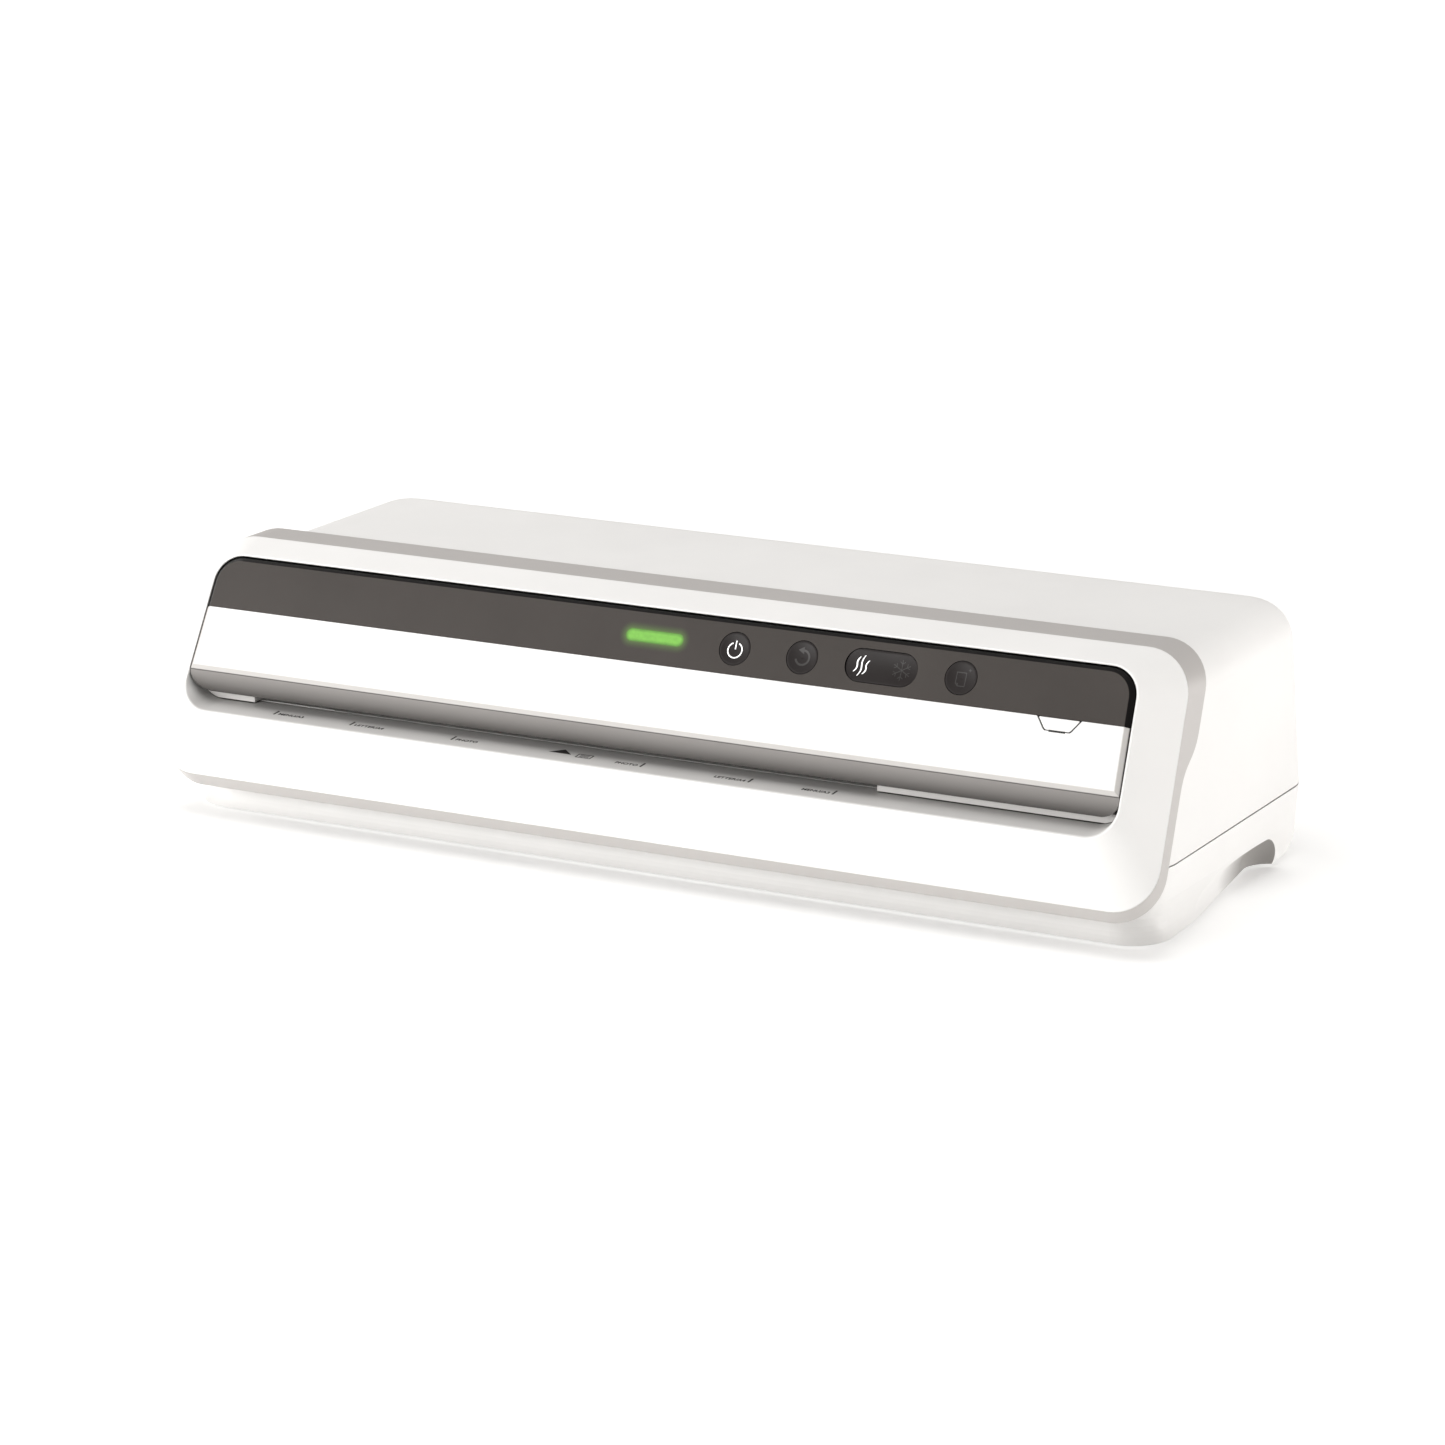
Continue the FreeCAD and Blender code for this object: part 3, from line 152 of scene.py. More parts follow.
def make_floor():
    mesh = bpy.data.meshes.new("floor")
    corners = ((-1, -1), (1, -1), (1, 1), (-1, 1))
    mesh.from_pydata([(x * FLOOR_REACH, y * FLOOR_REACH, 0) for x, y in corners], [], [(0, 1, 2, 3)])
    floor = bpy.data.objects.new("floor", mesh)
    bpy.context.scene.collection.objects.link(floor)
    mesh.materials.append(paper_material())


# ---------------------------------------------------------------- materials

def new_material(name):
    material = bpy.data.materials.new(name)
    material.use_nodes = True
    nodes = material.node_tree.nodes
    nodes.clear()
    output = nodes.new("ShaderNodeOutputMaterial")
    shader = nodes.new("ShaderNodeBsdfPrincipled")
    material.node_tree.links.new(shader.outputs[0], output.inputs[0])
    return material, nodes, material.node_tree.links, shader


def object_coordinates(nodes, links, scale=(1, 1, 1)):
    place = nodes.new("ShaderNodeTexCoord")
    stretch = nodes.new("ShaderNodeMapping")
    stretch.inputs["Scale"].default_value = scale
    links.new(place.outputs["Object"], stretch.inputs["Vector"])
    return stretch.outputs["Vector"]


def noise(nodes, links, vector, scale, detail=3.0, roughness=0.55):
    texture = nodes.new("ShaderNodeTexNoise")
    texture.inputs["Scale"].default_value = scale
    texture.inputs["Detail"].default_value = detail
    texture.inputs["Roughness"].default_value = roughness
    links.new(vector, texture.inputs["Vector"])
    return texture.outputs["Fac"]


def remap(nodes, links, value, low, high, from_low=0.3, from_high=0.7):
    ranger = nodes.new("ShaderNodeMapRange")
    ranger.inputs["From Min"].default_value = from_low
    ranger.inputs["From Max"].default_value = from_high
    ranger.inputs["To Min"].default_value = low
    ranger.inputs["To Max"].default_value = high
    links.new(value, ranger.inputs["Value"])
    return ranger.outputs["Result"]


def mix_colours(nodes, links, factor, first, second):
    """Mix two colours; each is a triple or a socket."""
    mixer = nodes.new("ShaderNodeMix")
    mixer.data_type = "RGBA"
    links.new(factor, mixer.inputs["Factor"])
    for socket, colour in ((mixer.inputs[6], first), (mixer.inputs[7], second)):
        if isinstance(colour, tuple):
            socket.default_value = (*colour, 1)
        else:
            links.new(colour, socket)
    return mixer.outputs[2]


def shade(colour, factor):
    return tuple(min(1.0, channel * factor) for channel in colour)


def edge_mask(nodes, links, radius):
    """1 where a surface turns within the radius, as at a worn or rounded edge, else 0."""
    bevel = nodes.new("ShaderNodeBevel")
    bevel.samples = 4
    bevel.inputs["Radius"].default_value = radius
    geometry = nodes.new("ShaderNodeNewGeometry")
    dot = nodes.new("ShaderNodeVectorMath")
    dot.operation = "DOT_PRODUCT"
    links.new(bevel.outputs["Normal"], dot.inputs[0])
    links.new(geometry.outputs["Normal"], dot.inputs[1])
    return remap(nodes, links, dot.outputs["Value"], 1.0, 0.0, 0.75, 0.995), bevel.outputs["Normal"]


def crevice_mask(nodes, distance, local):
    """1 in the open and 0 deep in a gap or corner; local looks only at the piece itself."""
    occlusion = nodes.new("ShaderNodeAmbientOcclusion")
    occlusion.samples = 6
    occlusion.only_local = local
    occlusion.inputs["Distance"].default_value = distance
    return occlusion.outputs["AO"]


OPEN_AIR = 0.85
GRAIN_HEIGHT = 0.1 * MM
BRUSH_HEIGHT = 0.05 * MM
BRUSH_DEPTH = 0.08


def plastic(name, colour, roughness, grain=1400, depth=0.06, variation=0.03, edge=0.35 * MM, wear_and_highlight=0.06,
            metal=0.0, crevice=0.0, darkest=0.3, local=False, specular=0.5):
    """Moulded plastic: fine spark-eroded grain, slow colour drift, polished edges lightened by wear and painted
    highlight, painted shade in gaps.

    edge is the width of the polished edges and crevice the reach of the painted shade in gaps, in metres;
    0 leaves either out.
    """
    material, nodes, links, shader = new_material(name)
    place = object_coordinates(nodes, links)
    drift = noise(nodes, links, place, 9, 4)
    base = mix_colours(nodes, links, remap(nodes, links, drift, 0, 1), shade(colour, 1 - variation),
                       shade(colour, 1 + variation * 0.6))
    smudge = noise(nodes, links, place, 55, 5, 0.6)
    rough = remap(nodes, links, smudge, roughness * 0.9, roughness * 1.12)
    fine = noise(nodes, links, place, grain, 2)
    bump = nodes.new("ShaderNodeBump")
    bump.inputs["Strength"].default_value = depth
    bump.inputs["Distance"].default_value = GRAIN_HEIGHT
    links.new(fine, bump.inputs["Height"])
    if edge:
        mask, rounded = edge_mask(nodes, links, edge)
        links.new(rounded, bump.inputs["Normal"])
        # Lighter colour at the edges: partly wear, partly painted highlight.
        base = mix_colours(nodes, links, remap(nodes, links, mask, 0, wear_and_highlight, 0, 1), base,
                           shade(colour, 1.25))
    if crevice:
        # Painted shade: the colour darkens in gaps and corners by ambient occlusion.
        open_air = crevice_mask(nodes, crevice, local)
        base = mix_colours(nodes, links, remap(nodes, links, open_air, 0, 1, 0.0, OPEN_AIR),
                           shade(colour, darkest), base)
    links.new(base, shader.inputs["Base Color"])
    links.new(rough, shader.inputs["Roughness"])
    links.new(bump.outputs["Normal"], shader.inputs["Normal"])
    shader.inputs["Metallic"].default_value = metal
    shader.inputs["Specular IOR Level"].default_value = specular
    return material


def metal(name, colour, roughness, stretch=(4, 900, 900)):
    """Metal with fine drawn or brushed lines along x and slight tarnish."""
    material, nodes, links, shader = new_material(name)
    lines = noise(nodes, links, object_coordinates(nodes, links, stretch), 1.0, 3)
    cloud = noise(nodes, links, object_coordinates(nodes, links), 30, 4)
    base = mix_colours(nodes, links, remap(nodes, links, cloud, 0, 1), shade(colour, 0.86),
                       shade(colour, 1.06))
    links.new(base, shader.inputs["Base Color"])
    links.new(remap(nodes, links, lines, roughness * 0.8, roughness * 1.3), shader.inputs["Roughness"])
    bump = nodes.new("ShaderNodeBump")
    bump.inputs["Strength"].default_value = BRUSH_DEPTH
    bump.inputs["Distance"].default_value = BRUSH_HEIGHT
    links.new(lines, bump.inputs["Height"])
    links.new(bump.outputs["Normal"], shader.inputs["Normal"])
    shader.inputs["Metallic"].default_value = 1.0
    return material


def component_of(nodes, links, vector, direction, offset):
    """How far a point lies along a direction, counted from an offset."""
    dot = nodes.new("ShaderNodeVectorMath")
    dot.operation = "DOT_PRODUCT"
    links.new(vector, dot.inputs[0])
    dot.inputs[1].default_value = direction
    shift = nodes.new("ShaderNodeMath")
    shift.operation = "SUBTRACT"
    links.new(dot.outputs["Value"], shift.inputs[0])
    shift.inputs[1].default_value = offset
    return shift.outputs[0]


def vector_step(nodes, links, operation, first, second=None):
    """A vector operation; each input is a triple or a socket."""
    step = nodes.new("ShaderNodeVectorMath")
    step.operation = operation
    for socket, value in zip(step.inputs, (first, second)):
        if isinstance(value, tuple):
            socket.default_value = value
        elif value is not None:
            links.new(value, socket)
    return step


def arithmetic(nodes, links, operation, first, second=None):
    step = nodes.new("ShaderNodeMath")
    step.operation = operation
    for socket, value in zip(step.inputs, (first, second)):
        if isinstance(value, (int, float)):
            socket.default_value = value
        elif value is not None:
            links.new(value, socket)
    return step.outputs[0]


def darkened(material, mask_of, colour, amount=1.0):
    """Mixes an amount of a colour into a material's base where mask_of(nodes, links) is 1."""
    tree = material.node_tree
    shader = next(node for node in tree.nodes if node.type == "BSDF_PRINCIPLED")
    base = shader.inputs["Base Color"].links[0].from_socket
    mask = arithmetic(tree.nodes, tree.links, "MULTIPLY", mask_of(tree.nodes, tree.links), amount)
    tree.links.new(mix_colours(tree.nodes, tree.links, mask, base, colour), shader.inputs["Base Color"])
    return material


WHITE = (0.90, 0.893, 0.88)
UP = (0, 0, 1)

# The finger recess is a rounded channel: its radius, the rear end and direction of its axis on the right
# side, the soft width of its rim, and where its painted shade fades in from front to rear.
RECESS_RADIUS = 14 * MM
RECESS_REAR = (258 * MM, 51.75 * MM, 3.1 * MM)
RECESS_WAY = (-0.1174, 0.9914, -0.0587)
RECESS_RIM = (0.05 * MM, 0.2 * MM)
RECESS_FADE = (6 * MM, 44 * MM)
GROOVE_DROP = 0.6 * MM
GROOVE_EDGE = 0.01 * MM


def base_material():
    """White shell with painted shade: dark in the groove under the cover and towards the rear of the finger
    recesses.
    """
    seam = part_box("base_shell")[1].z

    def groove(nodes, links):
        place = object_coordinates(nodes, links)
        height = component_of(nodes, links, place, UP, seam - GROOVE_DROP)
        return remap(nodes, links, height, 0, 1, -GROOVE_EDGE, GROOVE_EDGE)

    def recess(nodes, links):
        place = object_coordinates(nodes, links)
        parts = nodes.new("ShaderNodeSeparateXYZ")
        links.new(place, parts.inputs[0])
        sided = nodes.new("ShaderNodeCombineXYZ")
        links.new(arithmetic(nodes, links, "ABSOLUTE", parts.outputs["X"]), sided.inputs["X"])
        links.new(parts.outputs["Y"], sided.inputs["Y"])
        links.new(parts.outputs["Z"], sided.inputs["Z"])
        offset = vector_step(nodes, links, "SUBTRACT", sided.outputs[0], RECESS_REAR).outputs["Vector"]
        along = vector_step(nodes, links, "DOT_PRODUCT", offset, RECESS_WAY).outputs["Value"]
        nearest = vector_step(nodes, links, "SCALE", RECESS_WAY)
        links.new(arithmetic(nodes, links, "MINIMUM", along, 0.0), nearest.inputs["Scale"])
        apart = vector_step(nodes, links, "SUBTRACT", offset, nearest.outputs["Vector"])
        reach = vector_step(nodes, links, "LENGTH", apart.outputs["Vector"]).outputs["Value"]
        inside = remap(nodes, links, reach, 1, 0, *(RECESS_RADIUS + rim for rim in RECESS_RIM))
        return arithmetic(nodes, links, "MULTIPLY", inside,
                          remap(nodes, links, parts.outputs["Y"], 0, 1, *RECESS_FADE))

    # Painted shade in the base shell's own gaps and corners.
    shell = plastic("white_base", WHITE, 0.42, crevice=12 * MM, darkest=0.2, local=True)
    # Painted shade in the finger recesses, fading in towards their rear.
    darkened(shell, recess, (0.36, 0.345, 0.33))
    # Painted shadow: a dark line in the groove under the cover.
    return darkened(shell, groove, (0.10, 0.095, 0.09))


PANEL_BEVEL = (0.08 * MM, 0.35 * MM)
PANEL_SIDE = (1.6 * MM, 2.0 * MM)


def panel_material():
    """White panel with painted shade: a soft grey bevel round its face and dark sides in the gap."""
    def deeper_than(first, last):
        def mask(nodes, links):
            place = object_coordinates(nodes, links)
            out = component_of(nodes, links, place, OUTWARD, LINE_ORIGIN.dot(OUTWARD))
            return remap(nodes, links, out, 1, 0, -last, -first)
        return mask

    panel = plastic("white_panel", WHITE, 0.40)
    # Painted shade: the soft grey on the bevel round the face.
    darkened(panel, deeper_than(*PANEL_BEVEL), (0.62, 0.60, 0.58))
    # Painted shade: the dark sides of the panel in the gap.
    return darkened(panel, deeper_than(*PANEL_SIDE), (0.05, 0.047, 0.045))


SHELF_TOP = 80 * MM
LIP_SHADE = 2.2 * MM


def bezel_material():
    """White shell with painted shade: dark where its lip meets the insert and greyer on the feed shelf.

    The shelf is the bezel's only face that looks up below SHELF_TOP.
    """
    def shelf(nodes, links):
        geometry = nodes.new("ShaderNodeNewGeometry")
        upright = vector_step(nodes, links, "DOT_PRODUCT", geometry.outputs["Normal"], UP)
        height = component_of(nodes, links, object_coordinates(nodes, links), UP, SHELF_TOP)
        return arithmetic(nodes, links, "MULTIPLY",
                          remap(nodes, links, upright.outputs["Value"], 0, 1, 0.5, 0.9),
                          remap(nodes, links, height, 1, 0, -1 * MM, 1 * MM))

    def lip(nodes, links):
        open_air = crevice_mask(nodes, LIP_SHADE, False)
        return remap(nodes, links, open_air, 1, 0, 0.30, 0.62)

    # Painted shade in the bezel's gaps and corners.
    shell = plastic("white_bezel", WHITE, 0.42, crevice=9 * MM, darkest=0.45)
    # Painted shade: the feed shelf greyer, as in the shadow of the jaw.
    darkened(shell, shelf, (0.50, 0.487, 0.475), amount=0.7)
    # Painted shade: dark where the lip meets the insert, by ambient occlusion.
    return darkened(shell, lip, (0.07, 0.066, 0.063))


JAW_FADE = 13 * MM


def jaw_material():
    """Grey jaw with painted shade, darker towards the slot."""
    def lower(nodes, links):
        place = object_coordinates(nodes, links)
        height = component_of(nodes, links, place, UP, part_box("slot_jaw")[0].z)
        return remap(nodes, links, height, 1, 0, 0, JAW_FADE)

    jaw = plastic("jaw_grey", (0.31, 0.293, 0.28), 0.38, grain=2200, depth=0.03, variation=0.03)
    # Painted shade: the jaw darkens towards the slot.
    return darkened(jaw, lower, (0.085, 0.08, 0.076))


# The status light: its colour, half the length of its middle line, how far that line lies above the
# control line, the fade at the light's rim, and the fade of its glow on the strip.
LIGHT_COLOUR = (0.25, 0.62, 0.075)
LIGHT_HALF = 12 * MM
LIGHT_RISE = 0.5 * MM
LIGHT_RIM = (1.5 * MM, 3.3 * MM)
LIGHT_GLOW = (3.3 * MM, 7.0 * MM)


def lens_material():
    """Smoked gloss strip: printed grey on its flat face, black on its bevel, green glow by the light."""
    material, nodes, links, shader = new_material("smoked_strip")
    place = object_coordinates(nodes, links)
    out = component_of(nodes, links, place, OUTWARD, LINE_ORIGIN.dot(OUTWARD))
    face = remap(nodes, links, out, 0, 1, -0.25 * MM, -0.05 * MM)
    drift = noise(nodes, links, place, 14, 4)
    printed = mix_colours(nodes, links, remap(nodes, links, drift, 0, 1), (0.060, 0.0535, 0.0495),
                          (0.069, 0.0615, 0.057))
    base = mix_colours(nodes, links, face, (0.004, 0.0035, 0.0035), printed)
    links.new(base, shader.inputs["Base Color"])
    fine = noise(nodes, links, place, 700, 2)
    links.new(remap(nodes, links, fine, 0.20, 0.26), shader.inputs["Roughness"])
    shader.inputs["Specular IOR Level"].default_value = 0.2

    glow = light_falloff(nodes, links, place)
    shader.inputs["Emission Color"].default_value = (*LIGHT_COLOUR, 1)
    links.new(arithmetic(nodes, links, "MULTIPLY", glow, 0.9), shader.inputs["Emission Strength"])
    return material


def light_falloff(nodes, links, place):
    """Brightness of the status light by distance from its middle line: 1 at its core."""
    x = component_of(nodes, links, place, (1, 0, 0), centre_of("status_light").x)
    along = component_of(nodes, links, place, UPWARD, on_face(0, LIGHT_RISE, 0).dot(UPWARD))
    across = arithmetic(nodes, links, "ABSOLUTE", x)
    beyond = arithmetic(nodes, links, "SUBTRACT", across, LIGHT_HALF)
    past = arithmetic(nodes, links, "MAXIMUM", beyond, 0.0)
    squares = [arithmetic(nodes, links, "POWER", length, 2.0) for length in (past, along)]
    distance = arithmetic(nodes, links, "SQRT", arithmetic(nodes, links, "ADD", *squares))
    near = remap(nodes, links, distance, 1, 0.22, *LIGHT_RIM)
    far = remap(nodes, links, distance, 1, 0, *LIGHT_GLOW)
    return arithmetic(nodes, links, "MULTIPLY", near, arithmetic(nodes, links, "POWER", far, 2.0))


def status_light_material():
    """Green window lit from behind, softer towards its rim."""
    material, nodes, links, shader = new_material("green_light")
    place = object_coordinates(nodes, links)
    cloud = noise(nodes, links, place, 400, 2)
    links.new(mix_colours(nodes, links, cloud, (0.03, 0.09, 0.02), (0.05, 0.14, 0.03)),
              shader.inputs["Base Color"])
    shader.inputs["Emission Color"].default_value = (*LIGHT_COLOUR, 1)
    glow = light_falloff(nodes, links, place)
    links.new(arithmetic(nodes, links, "MULTIPLY", glow, remap(nodes, links, cloud, 0.70, 0.80)),
              shader.inputs["Emission Strength"])
    shader.inputs["Roughness"].default_value = 0.3
    return material


def glowing(name, colour, strength):
    """An icon lit from behind."""
    material, nodes, links, shader = new_material(name)
    place = object_coordinates(nodes, links)
    cloud = noise(nodes, links, place, 90, 2)
    links.new(mix_colours(nodes, links, remap(nodes, links, cloud, 0, 1), shade(colour, 0.8), colour),
              shader.inputs["Base Color"])
    shader.inputs["Emission Color"].default_value = (*colour, 1)
    links.new(remap(nodes, links, cloud, strength * 0.9, strength * 1.1),
              shader.inputs["Emission Strength"])
    shader.inputs["Roughness"].default_value = 0.3
    return material


PAPER_GLOW = (0.26, 1.1)
PAPER_FADE = (0.5, 3.0)


def paper_material():
    """White studio paper that glows more with distance from the object, in metres."""
    material, nodes, links, shader = new_material("studio_paper")
    place = object_coordinates(nodes, links)
    fibre = noise(nodes, links, place, 40, 4)
    links.new(mix_colours(nodes, links, fibre, (0.92, 0.92, 0.915), (0.94, 0.94, 0.935)),
              shader.inputs["Base Color"])
    shader.inputs["Roughness"].default_value = 0.9
    reach = nodes.new("ShaderNodeVectorMath")
    reach.operation = "LENGTH"
    links.new(place, reach.inputs[0])
    shader.inputs["Emission Color"].default_value = (1, 1, 1, 1)
    links.new(remap(nodes, links, reach.outputs["Value"], *PAPER_GLOW, *PAPER_FADE),
              shader.inputs["Emission Strength"])
    return material


def board_material():
    """Green solder mask with lighter copper tracks under it."""
    material, nodes, links, shader = new_material("solder_mask")
    place = object_coordinates(nodes, links, (160, 160, 160))
    bricks = nodes.new("ShaderNodeTexBrick")
    bricks.inputs["Scale"].default_value = 1.0
    bricks.inputs["Mortar Size"].default_value = 0.05
    links.new(place, bricks.inputs["Vector"])
    tracks = bricks.outputs["Fac"]
    links.new(mix_colours(nodes, links, tracks, (0.02, 0.17, 0.07), (0.06, 0.33, 0.14)),
              shader.inputs["Base Color"])
    bump = nodes.new("ShaderNodeBump")
    bump.inputs["Strength"].default_value = 0.3
    bump.inputs["Distance"].default_value = 0.04 * MM
    links.new(tracks, bump.inputs["Height"])
    links.new(bump.outputs["Normal"], shader.inputs["Normal"])
    shader.inputs["Roughness"].default_value = 0.32
    return material


def heater_material():
    """Amber film with a meandering etched foil under it."""
    material, nodes, links, shader = new_material("heater_film")
    place = object_coordinates(nodes, links, (220, 220, 220))
    waves = nodes.new("ShaderNodeTexWave")
    waves.inputs["Scale"].default_value = 1.0
    waves.inputs["Distortion"].default_value = 0.6
    links.new(place, waves.inputs["Vector"])
    links.new(mix_colours(nodes, links, waves.outputs["Fac"], (0.42, 0.18, 0.03), (0.75, 0.42, 0.12)),
              shader.inputs["Base Color"])
    shader.inputs["Roughness"].default_value = 0.35
    return material


def make_materials():
    table = {
        # Painted shade in the white shell's gaps and corners.
        "white_shell": plastic("white_shell", WHITE, 0.42, crevice=16 * MM, darkest=0.25),
        # The grey trim gets a strong painted highlight along its edges.
        "grey_trim": plastic("grey_trim", (0.545, 0.522, 0.505), 0.36, grain=2200, depth=0.03,
                             variation=0.02, edge=0.5 * MM, wear_and_highlight=0.7, metal=0.15),
        "dark_lens": lens_material(),
        "jaw_grey": jaw_material(),
        "button_black": plastic("button_black", (0.0105, 0.0070, 0.0066), 0.44, grain=2600, depth=0.05,
                                variation=0.1, edge=0.25 * MM, specular=0.3),
        "light_green": status_light_material(),
        "guide_white": plastic("guide_white", (0.78, 0.765, 0.75), 0.5),
        "steel": metal("steel", (0.60, 0.60, 0.61), 0.34),
        "silicone": plastic("silicone", (0.70, 0.20, 0.10), 0.62, grain=900, depth=0.15,
                            variation=0.08, edge=0),
        "foot_rubber": plastic("foot_rubber", (0.03, 0.03, 0.03), 0.8, grain=900, depth=0.3,
                               variation=0.2),
        "aluminium": metal("aluminium", (0.80, 0.80, 0.81), 0.28, (3, 1500, 1500)),
        "heater_film": heater_material(),
        "nylon": plastic("nylon", (0.82, 0.80, 0.74), 0.5),
        "gear_plastic": plastic("gear_plastic", (0.86, 0.85, 0.80), 0.45),
        "board_green": board_material(),
        "component_black": plastic("component_black", (0.03, 0.03, 0.033), 0.5),
        "black_plastic": plastic("black_plastic", (0.035, 0.035, 0.037), 0.45),
        "spring_steel": metal("spring_steel", (0.45, 0.45, 0.46), 0.3, (300, 300, 300)),
    }
    own = {"base_shell": base_material(), "front_panel": panel_material(),
           "front_bezel": bezel_material()}
    for entry in frame["record"]["subparts"]:
        node = frame["nodes"][entry["node"]]
        node.data.materials.clear()
        node.data.materials.append(own.get(entry["node"], table[entry["material_slot"]]))
    return table


# ---------------------------------------------------------------- icons and marks

def new_piece(name, vertices, faces, material, body):
    mesh = bpy.data.meshes.new(name)
    mesh.from_pydata(vertices, [], faces)
    mesh.validate()
    piece = bpy.data.objects.new(name, mesh)
    mesh.materials.append(material)
    bpy.context.scene.collection.objects.link(piece)
    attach(piece, body)
    return piece


STROKE_STEP = 0.35
ARC_COUNT = 40
PRINT_THICK = 0.06 * MM
PRINT_GAP = 0.01 * MM


def densify(points, closed):
    """Points every STROKE_STEP or less along a line, in millimetres."""
    result = []
    pairs = list(zip(points, points[1:] + (points[:1] if closed else [])))
    for first, last in pairs:
        first, last = Vector(first), Vector(last)
        count = max(1, math.ceil((last - first).length / STROKE_STEP))
        result += [first.lerp(last, k / count) for k in range(count)]
    if not closed:
        result.append(Vector(points[-1]))
    return result


def stroke(points, width, closed=False, taper=False):
    """A flat ribbon along points in millimetres: (vertices, faces) in the plane."""
    line = densify(points, closed)
    count = len(line)
    vertices, faces = [], []
    for k, point in enumerate(line):
        before = line[k - 1] if closed or k else point
        after = line[(k + 1) % count] if closed or k < count - 1 else point
        way = (after - before).normalized()
        side = Vector((-way.y, way.x))
        half = width / 2
        if taper:
            half *= 0.25 + 0.75 * math.sin(math.pi * (0.06 + 0.88 * k / (count - 1)))
        vertices += [point + side * half, point - side * half]
    for k in range(count if closed else count - 1):
        following = (k + 1) % count
        faces.append((2 * k, 2 * following, 2 * following + 1, 2 * k + 1))
    return vertices, faces


def arc(centre, radius, start, end):
    """Points on a circle, in degrees clockwise from the top."""
    turns = [math.radians(start + (end - start) * k / ARC_COUNT) for k in range(ARC_COUNT + 1)]
    return [(centre[0] + radius * math.sin(turn), centre[1] + radius * math.cos(turn)) for turn in turns]


def decal(name, strokes, place, material, body):
    """A thin raised print: flat shapes in millimetres, placed by place(u, v, height)."""
    vertices, faces = [], []
    for points, polygons in strokes:
        base = len(vertices)
        count = len(points)
        vertices += [place(point[0], point[1], PRINT_THICK) for point in points]
        vertices += [place(point[0], point[1], 0) for point in points]
        edges = {}  # a dict, not a set, so that the side walls keep their order
        for polygon in polygons:
            faces.append(tuple(base + index for index in polygon))
            for first, last in zip(polygon, polygon[1:] + polygon[:1]):
                edges[(first, last)] = True
        for first, last in edges:
            if (last, first) not in edges:
                faces.append((base + last, base + first, base + count + first, base + count + last))
    new_piece(name, vertices, faces, material, body)


# In millimetres: the dished tops of the buttons, and the least depth an icon lies under the strip.
DISH_RADIUS = 40.0
DISH_DEPTH = 0.7
ICON_SUNK = 0.1
ROCKER_END = 10.0


def dished(node, round_cap=True):
    """Places icon points on a control's dished top, which is a bowl or, for the rocker, a trough."""
    middle_x = centre_of(node).x

    def place(u, v, height):
        reach = math.hypot(u, v) if round_cap else abs(v)
        sag = DISH_RADIUS - math.sqrt(DISH_RADIUS ** 2 - reach ** 2) - DISH_DEPTH
        return on_face(middle_x + u * MM, v * MM, min(sag, -ICON_SUNK) * MM + height)

    return place


def power_icon():
    return [stroke(arc((0, -0.6), 3.6, 25, 335), 0.5), stroke([(0, -0.1), (0, 3.9)], 0.5)]


def reverse_icon():
    ring = stroke(arc((0, 0), 3.4, 2, 255), 1.0)
    head = ([Vector((0.3, 5.2)), Vector((0.3, 1.7)), Vector((-2.6, 3.4))], [(0, 2, 1)])
    return [ring, head]


def heat_icon():
    """Three slanting waves."""
    swing, slant, count = 0.6, 2.6, 24
    waves = []
    for middle, foot, top in ((-2.3, -3.2, 4.0), (0, -5.0, 4.8), (2.3, -4.0, 2.6)):
        points = [(middle + swing * math.sin(t * 2 * math.pi) + slant * (t - 0.5),
                   foot + (top - foot) * t) for t in [k / count for k in range(count + 1)]]
        waves.append(stroke(points, 0.62, taper=True))
    return waves


def snow_icon():
    """Six arms, each with two short branches."""
    arms = []
    for k in range(6):
        turn = math.pi / 3 * k
        way = Vector((math.sin(turn), math.cos(turn)))
        arms.append(stroke([(0, 0), tuple(way * 4.8)], 0.34))
        for lean in (-0.9, 0.9):
            branch = Vector((math.sin(turn + lean), math.cos(turn + lean)))
            root = way * 2.9
            arms.append(stroke([tuple(root), tuple(root + branch * 1.7)], 0.3))
    return arms


def page_icon():
    """A sheet with a folded corner and a spark."""
    sheet = stroke([(-1.3, -3.7), (2.1, -3.7), (2.1, 2.6), (-2.5, 2.6), (-2.5, -2.5)], 0.4,
                   closed=True)
    fold = stroke([(-1.3, -3.7), (-1.3, -2.5), (-2.5, -2.5)], 0.32)
    spark = [stroke([(2.9, 3.9), (4.3, 3.9)], 0.3), stroke([(3.6, 3.2), (3.6, 4.6)], 0.3)]
    return [sheet, fold] + spark


def make_icons():
    lit = glowing("icon_lit", (1.0, 1.0, 1.0), 0.88)
    dim = plastic("icon_dim", (0.036, 0.033, 0.032), 0.4, grain=2600, depth=0.03, edge=0)
    decal("power_icon", power_icon(), dished("power_button"), lit, "power_button")
    decal("reverse_icon", reverse_icon(), dished("reverse_button"), dim, "reverse_button")
    decal("page_icon", page_icon(), dished("page_button"), dim, "page_button")
    rocker = dished("hot_cold_rocker", False)
    for name, shape, end, material in (("heat_icon", heat_icon(), -ROCKER_END, lit),
                                       ("snow_icon", snow_icon(), ROCKER_END, dim)):
        decal(name, shape, lambda u, v, h: rocker(u + end, v, h), material, "hot_cold_rocker")


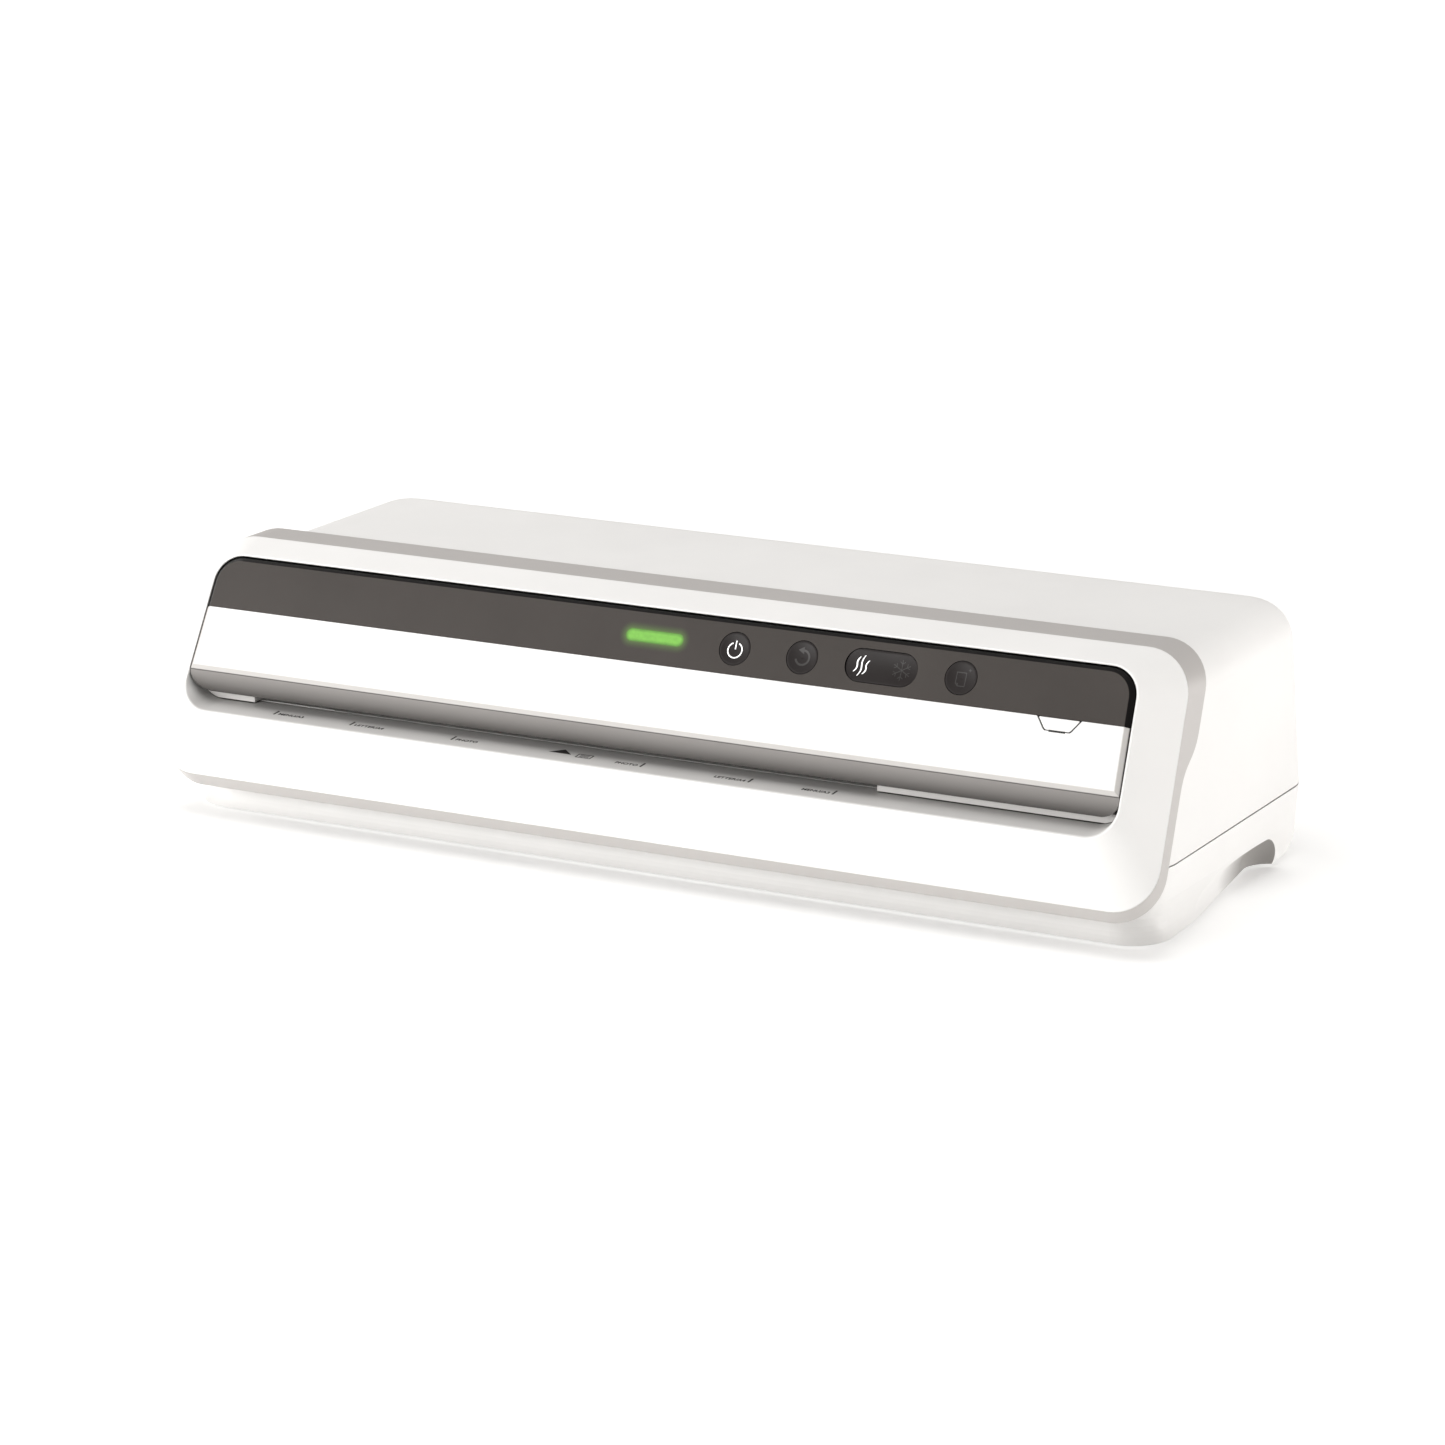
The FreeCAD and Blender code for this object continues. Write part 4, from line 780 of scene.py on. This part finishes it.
def shelf_placer():
    """Places marks on the feed shelf, found by looking down from the slot's roof."""
    bezel = frame["nodes"]["front_bezel"]
    tree = BVHTree.FromPolygons([vertex.co for vertex in bezel.data.vertices],
                                [tuple(polygon.vertices) for polygon in bezel.data.polygons])
    openings = {opening["name"]: opening for opening in frame["record"]["physics"]["openings"]}
    slot = openings["feed_slot"]["box_m"]
    middle = (slot[0][0] + slot[1][0]) / 2
    front = cad_low.y

    def place(u, v, height):
        start = Vector((middle + u * MM, front + v * MM, slot[1][2]))
        hit = tree.ray_cast(start, Vector((0, 0, -1)))[0]
        return hit + Vector((0, 0, height + PRINT_GAP))

    return place


# Name, words and half the width of each pouch; all lengths of the marks are in millimetres.
POUCHES = (("A3", "MENU/A3", 150.0), ("A4", "LETTER/A4", 107.0), ("PHOTO", "PHOTO", 50.8))
MARK_FRONT = 7.6
MARK_LENGTH = 5.1
MARK_WIDTH = 0.9
WORDS_GAP = 2.0
WORDS_RISE = 0.2
LETTER_SIZE = 3.4
LETTER_BOLD = 0.05


def text_shape(text, size):
    """Flat letters in millimetres from the built-in font."""
    curve = bpy.data.curves.new("letters", "FONT")
    curve.body = text
    curve.size = size
    curve.offset = LETTER_BOLD
    curve.resolution_u = 3
    holder = bpy.data.objects.new("letters", curve)
    bpy.context.scene.collection.objects.link(holder)
    bpy.context.view_layer.update()
    depsgraph = bpy.context.evaluated_depsgraph_get()
    mesh = bpy.data.meshes.new_from_object(holder.evaluated_get(depsgraph))
    points = [Vector((vertex.co.x, vertex.co.y)) for vertex in mesh.vertices]
    polygons = [tuple(polygon.vertices) for polygon in mesh.polygons]
    bpy.data.objects.remove(holder)
    bpy.data.curves.remove(curve)
    bpy.data.meshes.remove(mesh)
    return points, polygons


def moved(shape, u, v):
    return [point + Vector((u, v)) for point in shape[0]], shape[1]


def make_feed_marks():
    ink = plastic("mark_ink", (0.02, 0.018, 0.017), 0.6, grain=900, depth=0.02, edge=0)
    place = shelf_placer()
    for name, label, reach in POUCHES:
        words = text_shape(label, LETTER_SIZE)
        wide = max(point.x for point in words[0])
        shapes = []
        for side in (-1, 1):
            tick = side * reach
            shapes.append(stroke([(tick, MARK_FRONT), (tick, MARK_FRONT + MARK_LENGTH)], MARK_WIDTH))
            start = tick + (WORDS_GAP if side < 0 else -WORDS_GAP - wide)
            shapes.append(moved(words, start, MARK_FRONT + WORDS_RISE))
        decal("pouch_mark_" + name.lower(), shapes, place, ink, "housing")
    arrow = ([Vector((0.8, 10.4)), Vector((12.7, 10.4)), Vector((6.8, 15.6))], [(0, 1, 2)])
    sheet = stroke([(16.0, 8.4), (23.6, 8.4), (23.6, 12.6), (16.0, 12.6)], 0.5, closed=True)
    lines = [stroke([(17.4, 9.5 + k), (22.2, 9.5 + k)], 0.36) for k in range(3)]
    decal("feed_arrow", [arrow, sheet] + lines, place, ink, "housing")


def make_springs(steel):
    """The pressure springs again, as smooth-shaded pieces of their own on the housing; the imported springs are
    hidden.
    """
    for name in ("front", "rear"):
        node = name + "_pressure_springs"
        source = frame["nodes"][node].data
        piece = new_piece(name + "_spring_coils", [vertex.co.copy() for vertex in source.vertices],
                          [tuple(polygon.vertices) for polygon in source.polygons], steel, "housing")
        for polygon in piece.data.polygons:
            polygon.use_smooth = True
        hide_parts(node)
        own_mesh(piece)


TAB_LINE_RISE = 2.4 * MM
TAB_LINE_HALF = 4
TAB_LINE_WIDTH = 0.9


def make_tab_line():
    """The dark grip line near the foot of the release tab."""
    ink = plastic("tab_line", (0.012, 0.011, 0.011), 0.5, grain=900, depth=0.02, edge=0)
    middle = centre_of("release_tab").x
    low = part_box("release_tab")[0]
    rise = (low.z - LINE_ORIGIN.z) / UPWARD.z + TAB_LINE_RISE
    decal("release_tab_line", [stroke([(-TAB_LINE_HALF, 0), (TAB_LINE_HALF, 0)], TAB_LINE_WIDTH)],
          lambda u, v, h: on_face(middle + u * MM, rise + v * MM, h), ink, "release_tab")


# ---------------------------------------------------------------- the scene

make_camera()
make_lights()
make_floor()
finishes = make_materials()
make_springs(finishes["spring_steel"])
make_icons()
make_feed_marks()
make_tab_line()
